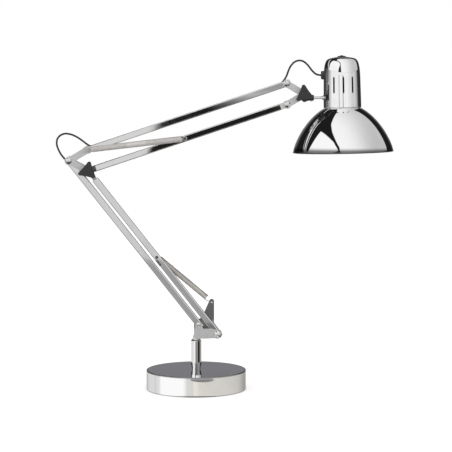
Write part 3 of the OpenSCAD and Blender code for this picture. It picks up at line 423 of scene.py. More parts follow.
def mathNode(tree, operation, a, b=None, clamp=False):
    node = addNode(tree, "ShaderNodeMath", operation=operation, use_clamp=clamp)
    for slotNumber, value in enumerate((a, b)):
        if value is None:
            continue
        if isinstance(value, (int, float)):
            node.inputs[slotNumber].default_value = value
        else:
            wire(tree, value, node.inputs[slotNumber])
    return node.outputs[0]


def mapRange(tree, value, low, high, toLow, toHigh, smooth=True):
    node = addNode(tree, "ShaderNodeMapRange", interpolation_type="SMOOTHSTEP" if smooth else "LINEAR")
    wire(tree, value, node.inputs["Value"])
    for label, number in (("From Min", low), ("From Max", high), ("To Min", toLow), ("To Max", toHigh)):
        if isinstance(number, (int, float)):
            node.inputs[label].default_value = number
        else:
            wire(tree, number, node.inputs[label])
    return node.outputs["Result"]


def mixColor(tree, factor, a, b, blendType="MIX"):
    node = addNode(tree, "ShaderNodeMix", data_type="RGBA", blend_type=blendType)
    for index, value in ((0, factor), (6, a), (7, b)):
        if isinstance(value, (int, float)):
            node.inputs[index].default_value = value
        elif isinstance(value, tuple):
            node.inputs[index].default_value = (*value[:3], 1)
        else:
            wire(tree, value, node.inputs[index])
    return node.outputs[2]


def noise(tree, scale, detail=3, roughness=0.5, stretch=None):
    coords = addNode(tree, "ShaderNodeTexCoord").outputs["Object"]
    if stretch:
        mapping = addNode(tree, "ShaderNodeMapping")
        wire(tree, coords, mapping.inputs["Vector"])
        mapping.inputs["Scale"].default_value = stretch
        coords = mapping.outputs["Vector"]
    node = addNode(tree, "ShaderNodeTexNoise")
    wire(tree, coords, node.inputs["Vector"])
    node.inputs["Detail"].default_value = detail
    node.inputs["Roughness"].default_value = roughness
    if isinstance(scale, (int, float)):
        node.inputs["Scale"].default_value = scale
    else:
        wire(tree, scale, node.inputs["Scale"])
    return node.outputs["Fac"]


def makeHandlingFilm():
    # faint smears and pores of a handled, polished surface
    group, source, result = newGroup(
        "handlingFilm", {"Smear Scale": 18.0, "Smear": 0.05, "Base Roughness": 0.05,
                         "Clean": (0.9, 0.9, 0.9, 1), "Smeared": (0.8, 0.8, 0.8, 1)},
        {"Color": "NodeSocketColor", "Roughness": "NodeSocketFloat", "Height": "NodeSocketFloat"})
    wide = noise(group, source.outputs["Smear Scale"], 5, 0.62)
    mask = mapRange(group, wide, 0.46, 0.72, 0.0, 1.0)
    smears = mathNode(group, "MULTIPLY", mask, source.outputs["Smear"])
    rough = mathNode(group, "ADD", smears, source.outputs["Base Roughness"])
    wire(group, rough, result.inputs["Roughness"])
    color = mixColor(group, mask, source.outputs["Clean"], source.outputs["Smeared"])
    wire(group, color, result.inputs["Color"])
    wire(group, noise(group, 900.0, 2), result.inputs["Height"])
    return group


def makeEdgeWear():
    # mask along convex edges, from the shape's own curvature
    group, source, result = newGroup(
        "edgeWear", {"From": 0.52, "To": 0.60, "Break Up": 300.0}, {"Mask": "NodeSocketFloat"})
    point = addNode(group, "ShaderNodeNewGeometry").outputs["Pointiness"]
    edge = mapRange(group, point, source.outputs["From"], source.outputs["To"], 0.0, 1.0)
    spots = mapRange(group, noise(group, source.outputs["Break Up"], 4), 0.4, 0.6, 0.3, 1.0)
    wire(group, mathNode(group, "MULTIPLY", edge, spots, True), result.inputs["Mask"])
    return group


def makePaintedCornerReflection():
    # how much a softened normal turns away at a corner, as the mask of a painted reflection: the tubes'
    # corners are painted darker, standing in for the darker things they mirror
    group, source, result = newGroup(
        "cornerLine", {"From": 0.01, "To": 0.2}, {"Mask": "NodeSocketFloat"})
    soft = addNode(group, "ShaderNodeBevel", samples=8)
    soft.inputs["Radius"].default_value = 1.1 * mm
    flat = addNode(group, "ShaderNodeNewGeometry").outputs["Normal"]
    dot = addNode(group, "ShaderNodeVectorMath", operation="DOT_PRODUCT")
    wire(group, soft.outputs["Normal"], dot.inputs[0])
    wire(group, flat, dot.inputs[1])
    turned = mathNode(group, "SUBTRACT", 1.0, dot.outputs["Value"])
    mask = mapRange(group, turned, source.outputs["From"], source.outputs["To"], 0.0, 1.0)
    wire(group, mask, result.inputs["Mask"])
    return group


def makeMouldGrain():
    # fine spark-eroded grain of moulded plastic, with slow unevenness
    group, source, result = newGroup(
        "mouldGrain", {"Grain Scale": 1400.0, "Shade": 0.25, "Base Roughness": 0.45, "Mottle": 0.3,
                       "Plastic": (0.05, 0.05, 0.05, 1)},
        {"Color": "NodeSocketColor", "Roughness": "NodeSocketFloat", "Height": "NodeSocketFloat"})
    fine = noise(group, source.outputs["Grain Scale"], 2, 0.6)
    slow = noise(group, 35.0, 3)
    tone = mapRange(group, slow, 0.3, 0.7, 1.0, mathNode(group, "ADD", source.outputs["Mottle"], 1.0))
    scaled = addNode(group, "ShaderNodeVectorMath", operation="SCALE")
    wire(group, source.outputs["Plastic"], scaled.inputs[0])
    wire(group, tone, scaled.inputs["Scale"])
    wire(group, scaled.outputs[0], result.inputs["Color"])
    spread = mathNode(group, "MULTIPLY", mathNode(group, "SUBTRACT", slow, 0.5), source.outputs["Shade"])
    rough = mathNode(group, "ADD", spread, source.outputs["Base Roughness"])
    wire(group, rough, result.inputs["Roughness"])
    wire(group, fine, result.inputs["Height"])
    return group


def makeBrushLines():
    # fine rolled or tumbled lines in satin metal
    group, source, result = newGroup(
        "brushLines", {"Line Scale": 260.0, "Base Roughness": 0.3, "Spread": 0.12,
                       "Light": (0.7, 0.7, 0.69, 1), "Dark": (0.6, 0.6, 0.59, 1)},
        {"Color": "NodeSocketColor", "Roughness": "NodeSocketFloat", "Height": "NodeSocketFloat"})
    lines = noise(group, source.outputs["Line Scale"], 4, 0.65, (0.12, 1.0, 1.6))
    cloud = noise(group, 60.0, 3)
    shares = [mathNode(group, "MULTIPLY", part, share) for part, share in ((lines, 0.6), (cloud, 0.4))]
    mixed = mathNode(group, "ADD", *shares)
    mask = mapRange(group, mixed, 0.35, 0.65, 0.0, 1.0)
    color = mixColor(group, mask, source.outputs["Dark"], source.outputs["Light"])
    wire(group, color, result.inputs["Color"])
    spread = mathNode(group, "MULTIPLY", mathNode(group, "SUBTRACT", lines, 0.5), source.outputs["Spread"])
    rough = mathNode(group, "ADD", spread, source.outputs["Base Roughness"])
    wire(group, rough, result.inputs["Roughness"])
    wire(group, lines, result.inputs["Height"])
    return group


effects = {"film": makeHandlingFilm(), "wear": makeEdgeWear(), "corner": makePaintedCornerReflection(),
           "grain": makeMouldGrain(), "lines": makeBrushLines()}
print("shader groups made:", len(effects))


def startMaterial(name):
    material = bpy.data.materials.new(name)
    material.use_nodes = True
    return material, material.node_tree, material.node_tree.nodes["Principled BSDF"]


def useGroup(tree, effect, values):
    node = addNode(tree, "ShaderNodeGroup", node_tree=effects[effect])
    for label, value in values.items():
        node.inputs[label].default_value = value
    return node


def bump(tree, shader, height, strength, distance):
    node = addNode(tree, "ShaderNodeBump")
    node.inputs["Strength"].default_value = strength
    node.inputs["Distance"].default_value = distance
    wire(tree, height, node.inputs["Height"])
    wire(tree, node.outputs["Normal"], shader.inputs["Normal"])
    return node


def grey(value, warm=0.0):
    return (value * (1 + warm), value, value * (1 - warm), 1)


def band(tree, value, low, high, soft):
    # one inside a range of a length in metres, nothing outside it
    return mathNode(tree, "MULTIPLY", mapRange(tree, value, low - soft, low + soft, 0.0, 1.0),
                    mapRange(tree, value, high - soft, high + soft, 1.0, 0.0))


def placeParts(tree):
    # a point's place in the lamp, in metres
    parts = addNode(tree, "ShaderNodeSeparateXYZ")
    wire(tree, addNode(tree, "ShaderNodeTexCoord").outputs["Object"], parts.inputs[0])
    return parts.outputs


def fromAxis(tree, parts):
    # distance from the base's axis
    flat = addNode(tree, "ShaderNodeCombineXYZ")
    wire(tree, parts["X"], flat.inputs["X"])
    wire(tree, parts["Y"], flat.inputs["Y"])
    length = addNode(tree, "ShaderNodeVectorMath", operation="LENGTH")
    wire(tree, flat.outputs[0], length.inputs[0])
    return length.outputs["Value"]


def overColor(tree, mask, color):
    # lays another colour over whatever already feeds the base colour
    target = tree.nodes["Principled BSDF"].inputs["Base Color"]
    wire(tree, mixColor(tree, mask, target.links[0].from_socket, color), target)


def toneRamp(tree, value, stops):
    # colours at places from 0 to 1 along a value
    ramp = addNode(tree, "ShaderNodeValToRGB")
    wire(tree, value, ramp.inputs["Fac"])
    elements = ramp.color_ramp.elements
    while len(elements) < len(stops):
        elements.new(0.5)
    for element, (place, color) in zip(elements, stops):
        element.position = place
        element.color = color
    return ramp.outputs["Color"]


def softEdge(tree, bumpNode, radius):
    # rounds sharp edges in the shading, by a radius in millimetres
    soft = addNode(tree, "ShaderNodeBevel", samples=4)
    soft.inputs["Radius"].default_value = radius * mm
    wire(tree, soft.outputs["Normal"], bumpNode.inputs["Normal"])


def effectMaterial(name, effect, values, strength, distance):
    # a material whose colour, roughness and bump come from one shared effect
    material, tree, shader = startMaterial(name)
    made = useGroup(tree, effect, values)
    wire(tree, made.outputs["Color"], shader.inputs["Base Color"])
    wire(tree, made.outputs["Roughness"], shader.inputs["Roughness"])
    return material, tree, shader, bump(tree, shader, made.outputs["Height"], strength, distance)


def chromeMaterial(name, tone, rough, smear=0.04, edge=0.0, warm=0.0, bumpStrength=0.02, corner=0.0):
    film = {"Smear": smear, "Base Roughness": rough,
            "Clean": grey(tone, warm), "Smeared": grey(tone * 0.93, warm)}
    material, tree, shader, bumpNode = effectMaterial(name, "film", film, bumpStrength, 0.00002)
    shader.inputs["Metallic"].default_value = 1.0
    if corner:
        # painted reflection: the corners are painted dark grey
        line = useGroup(tree, "corner", {}).outputs["Mask"]
        overColor(tree, mathNode(tree, "MULTIPLY", line, corner), grey(0.1))
    if edge:
        softEdge(tree, bumpNode, edge)
    return material


def satinMaterial(name, light, dark, rough, lineScale=260.0, warm=0.0, metal=1.0):
    lines = {"Line Scale": lineScale, "Base Roughness": rough,
             "Light": grey(light, warm), "Dark": grey(dark, warm)}
    material, tree, shader, bumpNode = effectMaterial(name, "lines", lines, 0.12, 0.00004)
    shader.inputs["Metallic"].default_value = metal
    worn = useGroup(tree, "wear", {"From": 0.66, "To": 0.8}).outputs["Mask"]
    overColor(tree, worn, tuple(1.12 * c for c in grey(light, warm)))
    softEdge(tree, bumpNode, 0.4)
    return material


def plasticMaterial(name, tone, rough, grainScale=1400.0, strength=0.25, wornTone=0.14, gloss=0.5):
    grain = {"Grain Scale": grainScale, "Base Roughness": rough, "Plastic": (*tone, 1)}
    material, tree, shader, bumpNode = effectMaterial(name, "grain", grain, strength, 0.00006)
    shader.inputs["Specular IOR Level"].default_value = gloss
    worn = useGroup(tree, "wear", {"From": 0.53, "To": 0.64}).outputs["Mask"]
    overColor(tree, worn, tuple(wornTone + 0.5 * c for c in tone))
    softEdge(tree, bumpNode, 0.5)
    return material


# where shade, highlights and reflections are painted onto the plating, steel and wire: places in metres,
# then each painted band's place and tone
marks = {
    "coverFootShadow": (0.0006, 0.0020), "coverShoulder": (0.0775, 0.0815), "coverTop": (0.0292, 0.0302),
    "postFoot": (0.0424, 0.0436), "postHalf": 0.0085, "ear": (0.107, 0.113), "neck": (0.0830, 0.0836),
    "bowlRim": (0.0028, 0.0098), "paintedShadeSide": (0.62, -0.2, 0.76), "paintedShadeTone": (0.13, 0.1, 0.08),
    "footReflectionBands": [(0.0, 0.5), (0.16, 0.3), (0.22, 0.9), (0.36, 0.85), (0.46, 0.25), (0.56, 0.1),
                (0.66, 0.3), (0.76, 0.5), (0.86, 0.25), (0.92, 0.06), (1.0, 0.1)],
}


def coverMaterial():
    # painted shade: darker along the foot, a painted shadow line where the cover meets the floor, and
    # darker in a ring along the top's outer edge
    material = chromeMaterial("coverChrome", 0.93, 0.003, smear=0.008, bumpStrength=0.004)
    tree = material.node_tree
    parts = placeParts(tree)
    foot = mapRange(tree, parts["Z"], *marks["coverFootShadow"], 0.75, 0.0)
    shoulder = band(tree, fromAxis(tree, parts), *marks["coverShoulder"], 0.0006)
    topEdge = mathNode(tree, "MULTIPLY", shoulder, mapRange(tree, parts["Z"], *marks["coverTop"], 0.0, 0.6))
    overColor(tree, mathNode(tree, "ADD", foot, topEdge, True), grey(0.08))
    return material


def postMaterial():
    # painted reflection: upright bands of light and dark are painted on the post's tapered foot, standing
    # in for what it mirrors
    material = chromeMaterial("postChrome", 0.93, 0.004, smear=0.01, bumpStrength=0.01)
    tree = material.node_tree
    parts = placeParts(tree)
    half = marks["postHalf"]
    across = mapRange(tree, parts["X"], -half, half, 0.0, 1.0, False)
    footReflectionBands = toneRamp(tree, across, [(place, grey(tone)) for place, tone in marks["footReflectionBands"]])
    overColor(tree, mapRange(tree, parts["Z"], *marks["postFoot"], 1.0, 0.0), footReflectionBands)
    return material


def shadeMaterial():
    # painted shade: the colour darkens towards the rolled rim, standing in for the dark reflection there
    material = chromeMaterial("shadeChrome", 0.93, 0.006, smear=0.012, bumpStrength=0.01)
    tree = material.node_tree
    low, high = (head["rim"][2] + up for up in marks["bowlRim"])
    overColor(tree, mapRange(tree, placeParts(tree)["Z"], low, high, 0.86, 0.0), grey(0.06))
    return material


def farPlateMaterial():
    # painted shade: the far plate is a darker copy of the near one, and its ear is painted darker still
    # where it lies in shade behind the front bar
    material = satinMaterial("farPlatePaintedShade", 0.42, 0.4, 0.45, metal=0.6)
    tree = material.node_tree
    overColor(tree, mapRange(tree, placeParts(tree)["Z"], *marks["ear"], 0.0, 0.8), grey(0.1))
    return material


def spindleMaterial():
    # painted highlight: the neck under the bracket is painted near white
    material = satinMaterial("spindleSteel", 0.57, 0.545, 0.4, metal=0.5)
    tree = material.node_tree
    overColor(tree, mapRange(tree, placeParts(tree)["Z"], *marks["neck"], 1.0, 0.0), grey(0.9))
    return material


def lowerWireMaterial():
    # painted shade: the lower spring is painted dark along the side that faces up and to the right
    material = satinMaterial("tarnishedWire", 0.66, 0.58, 0.42, 500.0, warm=0.045, metal=0.4)
    tree = material.node_tree
    facing = addNode(tree, "ShaderNodeVectorMath", operation="DOT_PRODUCT")
    wire(tree, addNode(tree, "ShaderNodeNewGeometry").outputs["Normal"], facing.inputs[0])
    facing.inputs[1].default_value = marks["paintedShadeSide"]
    overColor(tree, mapRange(tree, facing.outputs["Value"], 0.45, 0.85, 0.0, 0.85), marks["paintedShadeTone"])
    return material


def ironMaterial():
    casting = {"Grain Scale": 420.0, "Base Roughness": 0.7, "Plastic": (0.1, 0.1, 0.1, 1)}
    material, tree, shader, _ = effectMaterial("castIron", "grain", casting, 0.6, 0.0003)
    shader.inputs["Metallic"].default_value = 0.7
    rust = mapRange(tree, noise(tree, 70.0, 5), 0.55, 0.75, 0.0, 0.6)
    overColor(tree, rust, (0.16, 0.08, 0.04))
    return material


def glassMaterial():
    # opal globe, switched off
    opal = {"Smear": 0.12, "Base Roughness": 0.12,
            "Clean": (0.93, 0.93, 0.91, 1), "Smeared": (0.88, 0.88, 0.85, 1)}
    material, _, shader, _ = effectMaterial("opalGlobe", "film", opal, 0.02, 0.00003)
    shader.inputs["Coat Weight"].default_value = 0.6
    shader.inputs["Coat Roughness"].default_value = 0.05
    shader.inputs["Subsurface Weight"].default_value = 0.15
    return material


def enamelMaterial():
    white = {"Grain Scale": 600.0, "Base Roughness": 0.3, "Shade": 0.1, "Mottle": 0.03,
             "Plastic": (0.8, 0.8, 0.78, 1)}
    material, _, shader, _ = effectMaterial("shadeEnamel", "grain", white, 0.05, 0.00003)
    shader.inputs["Coat Weight"].default_value = 0.3
    return material


def leadMaterial():
    sheath = {"Grain Scale": 800.0, "Base Roughness": 0.42, "Plastic": (0.022, 0.022, 0.023, 1)}
    return effectMaterial("leadSheath", "grain", sheath, 0.15, 0.00005)[0]


finish = {
    "mirror": chromeMaterial("mirrorChrome", 0.93, 0.008, smear=0.015, bumpStrength=0.01),
    "shade": shadeMaterial(),
    "cover": coverMaterial(),
    # the bars' corners carry a painted dark reflection
    "bar": chromeMaterial("barChrome", 0.9, 0.012, smear=0.03, edge=0.9, corner=0.15),
    "post": postMaterial(),
    "bolt": chromeMaterial("boltChrome", 0.8, 0.12, smear=0.1, edge=0.3),
    "plate": satinMaterial("satinPlate", 0.57, 0.545, 0.42, metal=0.5),
    "elbowPlate": satinMaterial("elbowPlate", 0.6, 0.57, 0.4, metal=0.5),
    "farPlatePaintedShade": farPlateMaterial(),
    "spindle": spindleMaterial(),
    "zinc": satinMaterial("zincPlate", 0.66, 0.56, 0.3, 400.0),
    "wire": satinMaterial("springWire", 0.66, 0.6, 0.42, 500.0, warm=0.035, metal=0.35),
    "lowerWire": lowerWireMaterial(),
    "brass": chromeMaterial("turnedBrass", 0.62, 0.2, smear=0.15, warm=0.35),
    "black": plasticMaterial("blackMoulding", (0.012, 0.012, 0.013), 0.42, gloss=0.35),
    "bush": plasticMaterial("bushMoulding", (0.004, 0.004, 0.004), 0.6, wornTone=0.01, gloss=0.1),
    "knob": plasticMaterial("knobMoulding", (0.018, 0.018, 0.019), 0.5, 1100.0, 0.3, 0.06),
    "pale": plasticMaterial("paleMoulding", (0.62, 0.62, 0.60), 0.4, 1600.0, 0.15, 0.2),
    "bakelite": plasticMaterial("holderMoulding", (0.02, 0.017, 0.014), 0.25, 700.0, 0.1),
    "rubber": plasticMaterial("padRubber", (0.02, 0.02, 0.02), 0.8, 500.0, 0.6),
    "iron": ironMaterial(),
    "glass": glassMaterial(),
    "enamel": enamelMaterial(),
    "lead": leadMaterial(),
}

nodeFinish = {
    "base_cover": "cover", "base_weight": "iron", "base_pad": "rubber", "base_post": "post",
    "post_tube": "brass", "post_nut": "zinc", "lead_bush": "black", "swivel_bush": "bush",
    "swivel_spindle": "spindle", "bracket_plate_near": "plate", "bracket_plate_far": "farPlatePaintedShade",
    "rear_pivot_rivet": "bolt", "front_pivot_bolt": "bolt", "front_pivot_nut": "zinc",
    "lower_rear_bar": "bar", "lower_front_bar": "bar", "front_bar_tongue": "plate",
    "lower_anchor": "black", "lower_spring_plug": "zinc", "elbow_plate_near": "elbowPlate",
    "elbow_plate_far": "elbowPlate", "elbow_rivet": "bolt", "upper_spring_pin": "zinc",
    "elbow_bolt": "zinc", "elbow_washers": "zinc", "elbow_knob": "knob", "upper_top_bar": "bar",
    "upper_bottom_bar": "bar", "bottom_bar_fork": "black", "bottom_bar_fitting": "pale",
    "upper_anchor": "black", "upper_spring_plugs": "zinc", "wrist_plate_near": "elbowPlate",
    "wrist_plate_far": "elbowPlate", "wrist_rivets": "bolt", "wrist_bolt": "zinc",
    "wrist_washers": "zinc", "wrist_knob": "knob", "head_knuckle": "black",
    "knuckle_screw": "zinc", "head_rod": "bolt", "rod_nut": "zinc",
    "cap_grommet": "black", "lampholder": "bakelite", "shade_ring": "pale",
    "switch_button": "black", "bulb_glass": "glass", "bulb_cap": "brass",
}


def setFinish(obj, *keys):
    # emptying the slots sends every face back to the first one
    sides = [face.material_index for face in obj.data.polygons]
    obj.data.materials.clear()
    for key in keys:
        obj.data.materials.append(finish[key])
    if len(keys) > 1:
        obj.data.polygons.foreach_set("material_index", sides)


for name, key in nodeFinish.items():
    setFinish(nodes[name], key)
setFinish(shadeSkin, "shade", "enamel")
setFinish(capCollar, "black")
for obj in capParts:
    setFinish(obj, "mirror")
for obj in leads:
    setFinish(obj, "lead")
for obj in springs:
    setFinish(obj, "lowerWire" if obj.name.startswith("lower") else "wire")
print("finishes set:", len(nodeFinish))


# studio: white floor, and the light panels that the plated parts mirror.
# azimuths are in degrees to the right of the way to the camera, elevations above the horizon
studio = {
    "floorFront": -0.95, "floorBack": 4.0, "floorHalf": 3.0, "paper": (0.80, 0.82), "paperLift": 0.34,
    "lamps": {"keyLamp": {"place": (-1.3, -1.6, 1.9), "size": 1.2, "power": 10},
              "fillLamp": {"place": (1.8, -1.2, 1.2), "size": 1.5, "power": 5}},
    "lampTarget": (0, 0, 0.25), "ambient": 0.95, "behind": (0.205, 0.2, 0.215), "dark": 0.012,
    # corners of the two panels on a plane overhead: (to the right, away from the camera)
    "corners": {"top": (-0.10, 0.43), "left": (-0.44, -0.1), "bend": (-0.468, -0.4), "tip": (-0.337, -1.35),
                "pinch": (-1.41, -8.02), "inRight": (0.5, -0.4), "rightBack": (1, 0.437, 0),
                "apex": (-0.897, 0.018), "gap": (-0.54, -0.85), "foot": (-0.511, -1.4), "far": (-1, 0.1, 0),
                "inLeft": (-0.9, -0.5, 0.4)},
    # the right panel is brightest low in front and falls off to the right and above
    "rightPanel": {"tones": (0.57, 0.98), "fall": (-0.75, -0.6, 0.1), "range": (-0.7, 0.6),
                   "low": (0, -1, -1.35)},
    "leftPanel": 1.0,
    # a pale strip with a darker seam, through two points of the left side
    "strip": {"through": ((-1.15, 0.88), (-1, 0.101, 0)), "half": 0.08, "tone": 0.72,
              "seamHalf": 0.018, "seamTone": 0.2, "seamStrength": 0.7, "end": 0.47},
    # what lies at and under the horizon: (azimuths), (elevations), tone, softness of its ends in degrees
    "deep": [((-185, 185), (-95, -8.0), 0.05, (0.1, 0.1))],
    # further down the base's ring is mirrored again, dimmer the lower it is
    "under": {"elevations": (-40, -10.9), "strengths": (0.2, 0.72), "tone": 0.02},
    "low": [
        ((-185, 185), (-8.0, -1.2), 0.14, (0.1, 0.1)),
        ((-60, 60), (-8.0, -5.8), 0.36, (4, 0.12)),
        ((-60, 60), (-5.8, -2.6), 0.66, (4, 0.12)),
        # the cap's sides fall off to both edges, with two thin lines near the middle
        ((-158, 158), (-1.6, 7.4), 0.03, (3, 0.3)),
        ((-126, 104), (-1.6, 7.4), 0.17, (10, 0.3)),
        ((-96, 100), (-1.6, 7.4), 0.52, (12, 0.3)),
        ((-83, 84), (-1.6, 7.4), 0.66, (7, 0.3)),
        ((-79, 52), (-1.6, 7.4), 0.8, (8, 0.3)),
        ((-74, 34), (-1.6, 7.4), 0.93, (5, 0.3)),
        ((-25.0, -20.5), (-1.6, 5.0), 0.4, (1.0, 1.0)),
        ((-1.2, 3.6), (-0.1, 5.0), 0.36, (1.0, 0.3)),
        ((-6.2, 3.4), (-2.7, 0.1), 0.72, (0.1, 0.1)),
    ],
    # the gap between the panels widens again low down: (azimuth, elevation) of its two sides
    "wedge": {"left": ((-28, 7), (-16, 26)), "right": ((-8, 7), (-13, 26)), "middle": (-17, 12),
              "heights": (0.12, 0.4), "tone": 0.02},
    # the bars' dark length, with its slanting end
    "barShadow": {"azimuths": (-9, 3.4), "elevations": (-2.7, -0.1), "soft": (0.12, 0.42), "tone": 0.013,
                  "end": ((-2.45, -1.12), (-2.72, -1.98))},
    # elevations that the base's side and the post mirror
    "baseBand": (-10.56, -9.7), "postBand": (-9.7, -8.0),
    # the base's side mirrors this ring: (azimuth, tone)
    "baseRing": [(-180, 0.35), (-150, 0.6), (-128, 0.78), (-124, 0.66), (-118, 0.8), (-112, 0.66),
                 (-104, 0.72), (-93, 0.8), (-88, 1.03), (-30, 1.03), (-24, 0.88), (-20, 0.72), (-6, 0.7),
                 (-4, 0.82), (3, 0.8), (8, 0.72), (40, 0.69), (94, 0.64), (115, 0.6), (128, 0.5),
                 (150, 0.33), (165, 0.5), (180, 0.35)],
    # and the post this one, a little higher
    "postRing": [(-180, 0.6), (-130, 0.9), (-92, 0.73), (-64, 0.79), (-45, 0.93), (-30, 0.95), (-17, 0.8),
                 (-10, 0.22), (-7, 0.17), (4, 0.2), (15, 0.34), (24, 0.38), (34, 0.2), (42, 0.04),
                 (60, 0.01), (74, 0.01), (84, 0.1), (95, 0.33), (120, 0.36), (157, 0.4), (180, 0.5)],
    # the dim lens on the base's side: middle and half size in degrees, tones of its upper and lower half
    "lens": {"middle": (15, -9.99), "half": (28, 0.085), "tones": (0.42, 0.2)},
}


def direction(x, y, z=1.0):
    return Vector((x, y, z)).normalized()


def toward(azimuth, elevation):
    a, e = math.radians(azimuth), math.radians(elevation)
    return Vector((math.sin(a) * math.cos(e), -math.cos(a) * math.cos(e), math.sin(e)))


def ringColor(degrees, tone):
    warm = 0.03 if degrees > -15 else 0.0
    return (tone * (1 + warm), tone, tone * (1 - 2 * warm), 1)


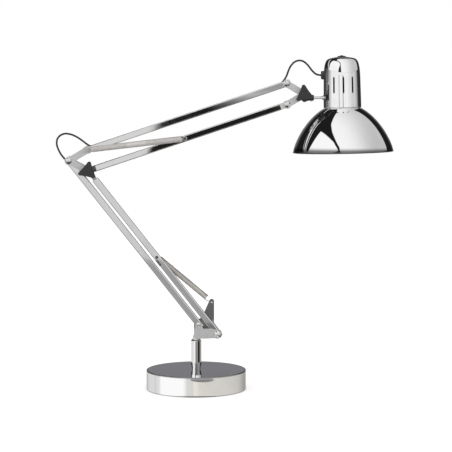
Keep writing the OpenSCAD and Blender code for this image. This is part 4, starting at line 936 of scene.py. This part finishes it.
def makeWorld():
    world = bpy.data.worlds.new("studioWorld")
    world.use_nodes = True
    bpy.context.scene.world = world
    tree = world.node_tree
    background = tree.nodes["Background"]
    look = addNode(tree, "ShaderNodeTexCoord").outputs["Generated"]
    parts = addNode(tree, "ShaderNodeSeparateXYZ")
    wire(tree, look, parts.inputs[0])
    toCamera = mathNode(tree, "MULTIPLY", parts.outputs["Y"], -1.0)
    turn = mathNode(tree, "ARCTAN2", parts.outputs["X"], toCamera)
    azimuth = mathNode(tree, "MULTIPLY", turn, math.degrees(1))
    rise = mathNode(tree, "ARCSINE", parts.outputs["Z"])
    elevation = mathNode(tree, "MULTIPLY", rise, math.degrees(1))
    at = {name: direction(*place) for name, place in studio["corners"].items()}

    def along(normal):
        dot = addNode(tree, "ShaderNodeVectorMath", operation="DOT_PRODUCT")
        wire(tree, look, dot.inputs[0])
        dot.inputs[1].default_value = normal
        return dot.outputs["Value"]

    def side(normal, soft, offset=0.0):
        return mapRange(tree, along(normal), offset - soft, offset + soft, 0.0, 1.0)

    def edge(a, b, inside, soft=0.012):
        normal = a.cross(b).normalized()
        return side(normal if normal.dot(inside) > 0 else -normal, soft)

    def both(*masks):
        result = masks[0]
        for mask in masks[1:]:
            result = mathNode(tree, "MULTIPLY", result, mask)
        return result

    def bounded(inside, *pairs, soft=0.012):
        return both(*[edge(at[a], at[b], at[inside], soft) for a, b in pairs])

    def stripe(normal, half, soft, end):
        return both(side(normal, soft, -half), side(-normal, soft, -half), end)

    def patch(azimuths, elevations, soft):
        return both(band(tree, azimuth, *azimuths, soft[0]), band(tree, elevation, *elevations, soft[1]))

    def ring(stops):
        # the tone changes round the horizon, and is warmer from the middle to the right
        fraction = mapRange(tree, azimuth, -180.0, 180.0, 0.0, 1.0, False)
        return toneRamp(tree, fraction, [((degrees + 180) / 360, ringColor(degrees, tone))
                                         for degrees, tone in stops])

    def laid(tone, rows):
        for azimuths, elevations, value, soft in rows:
            tone = mixColor(tree, patch(azimuths, elevations, soft), tone, grey(value))
        return tone

    def lighten(tone, mask, value):
        return mixColor(tree, 1.0, tone, mathNode(tree, "MULTIPLY", mask, value), "LIGHTEN")

    # above the horizon: dark, with the two panels and the strip
    right, strip = studio["rightPanel"], studio["strip"]
    backEdge = ("top", "rightBack")
    upper = bounded("inRight", ("top", "left"), ("left", "bend"), ("bend", "tip"), backEdge)
    lower = both(bounded("inRight", ("tip", "pinch"), backEdge), side(direction(*right["low"]), 0.01))
    leftPanel = both(bounded("inLeft", ("apex", "gap"), ("apex", "far")),
                     bounded("inLeft", ("gap", "foot"), ("foot", "pinch"), soft=0.008))
    first, second = (direction(*point) for point in strip["through"])
    across = first.cross(second).normalized()
    stripEnd = side((-1, 0, 0), 0.05, strip["end"])
    panelTone = mapRange(tree, along(right["fall"]), *right["range"], *right["tones"])
    tone = mixColor(tree, side((0, 1, 0), 0.1, 0.9), grey(studio["dark"]), studio["behind"])
    tone = lighten(tone, mathNode(tree, "MAXIMUM", upper, lower), panelTone)
    tone = lighten(tone, leftPanel, studio["leftPanel"])
    tone = lighten(tone, stripe(across, strip["half"], 0.03, stripEnd), strip["tone"])
    seam = stripe(across, strip["seamHalf"], 0.02, stripEnd)
    seam = mathNode(tree, "MULTIPLY", seam, strip["seamStrength"])
    tone = mixColor(tree, seam, tone, grey(strip["seamTone"]))
    gap = studio["wedge"]
    middle, (lowest, highest) = toward(*gap["middle"]), gap["heights"]
    sides = [edge(toward(*gap[name][0]), toward(*gap[name][1]), middle) for name in ("left", "right")]
    wedge = both(*sides, side((0, 0, 1), 0.01, lowest), side((0, 0, -1), 0.03, -highest))
    tone = mixColor(tree, wedge, tone, grey(gap["tone"]))

    # at and under the horizon: plain patches, and the rings that the base and the post mirror
    tone = laid(tone, studio["deep"])
    allRound, under = (-185, 185), studio["under"]
    baseTone = ring(studio["baseRing"])
    strength = mapRange(tree, elevation, *under["elevations"], *under["strengths"])
    underTone = mixColor(tree, strength, grey(under["tone"]), baseTone)
    tone = mixColor(tree, patch(allRound, under["elevations"], (0.1, 2.0)), tone, underTone)
    tone = mixColor(tree, patch(allRound, studio["baseBand"], (0.1, 0.01)), tone, baseTone)
    tone = mixColor(tree, patch(allRound, studio["postBand"], (0.1, 0.02)), tone, ring(studio["postRing"]))
    tone = laid(tone, studio["low"])
    shadow, lens = studio["barShadow"], studio["lens"]
    end = edge(toward(*shadow["end"][0]), toward(*shadow["end"][1]), toward(0, -1.5), 0.0022)
    shadowMask = both(patch(shadow["azimuths"], shadow["elevations"], shadow["soft"]), end)
    tone = mixColor(tree, shadowMask, tone, grey(shadow["tone"]))
    (midX, midZ), (halfX, halfZ) = lens["middle"], lens["half"]
    offX = mathNode(tree, "DIVIDE", mathNode(tree, "SUBTRACT", azimuth, midX), halfX)
    offZ = mathNode(tree, "DIVIDE", mathNode(tree, "SUBTRACT", elevation, midZ), halfZ)
    squares = [mathNode(tree, "MULTIPLY", off, off) for off in (offX, offZ)]
    lensMask = mapRange(tree, mathNode(tree, "ADD", *squares), 0.8, 1.1, 1.0, 0.0)
    upperHalf = mapRange(tree, offZ, -0.5, 0.5, 0.0, 1.0)
    lensTone = mixColor(tree, upperHalf, grey(lens["tones"][1]), grey(lens["tones"][0]))
    tone = mixColor(tree, lensMask, tone, lensTone)

    # the plating mirrors these tones, dull surfaces get an even light, and the camera sees white
    path = addNode(tree, "ShaderNodeLightPath")
    glossy = mixColor(tree, path.outputs["Is Glossy Ray"], grey(studio["ambient"]), tone)
    seen = mixColor(tree, path.outputs["Is Camera Ray"], glossy, (1.0, 1.0, 1.0))
    wire(tree, seen, background.inputs["Color"])
    background.inputs["Strength"].default_value = 1.0


def makeFloor():
    w, front, back = studio["floorHalf"], studio["floorFront"], studio["floorBack"]
    corners = [(-w, front, 0), (w, front, 0), (w, back, 0), (-w, back, 0)]
    floor = meshObject("floor", corners, [(0, 1, 2, 3)], False)
    material, tree, shader = startMaterial("paperFloor")
    paper = noise(tree, 3.0, 4)
    wire(tree, mixColor(tree, paper, *map(grey, studio["paper"])), shader.inputs["Base Color"])
    shader.inputs["Roughness"].default_value = 0.95
    shader.inputs["Specular IOR Level"].default_value = 0.0
    path = addNode(tree, "ShaderNodeLightPath")
    lift = mathNode(tree, "MULTIPLY", path.outputs["Is Camera Ray"], studio["paperLift"])
    wire(tree, mixColor(tree, lift, (0.0, 0.0, 0.0), (1.0, 1.0, 1.0)), shader.inputs["Emission Color"])
    shader.inputs["Emission Strength"].default_value = 1.0
    floor.data.materials.append(material)
    # the plating mirrors the studio's lower half instead
    floor.visible_glossy = False


def makeLamps():
    for name, settings in studio["lamps"].items():
        data = bpy.data.lights.new(name, "AREA")
        data.size = settings["size"]
        data.energy = settings["power"]
        lamp = bpy.data.objects.new(name, data)
        lamp.location = settings["place"]
        aim = Vector(studio["lampTarget"]) - Vector(settings["place"])
        lamp.rotation_euler = aim.to_track_quat("-Z", "Y").to_euler()
        lamp.visible_glossy = False
        lamp.visible_camera = False
        bpy.context.scene.collection.objects.link(lamp)


makeWorld()
makeFloor()
makeLamps()
bpy.context.scene.view_settings.view_transform = "Standard"
print("studio made")
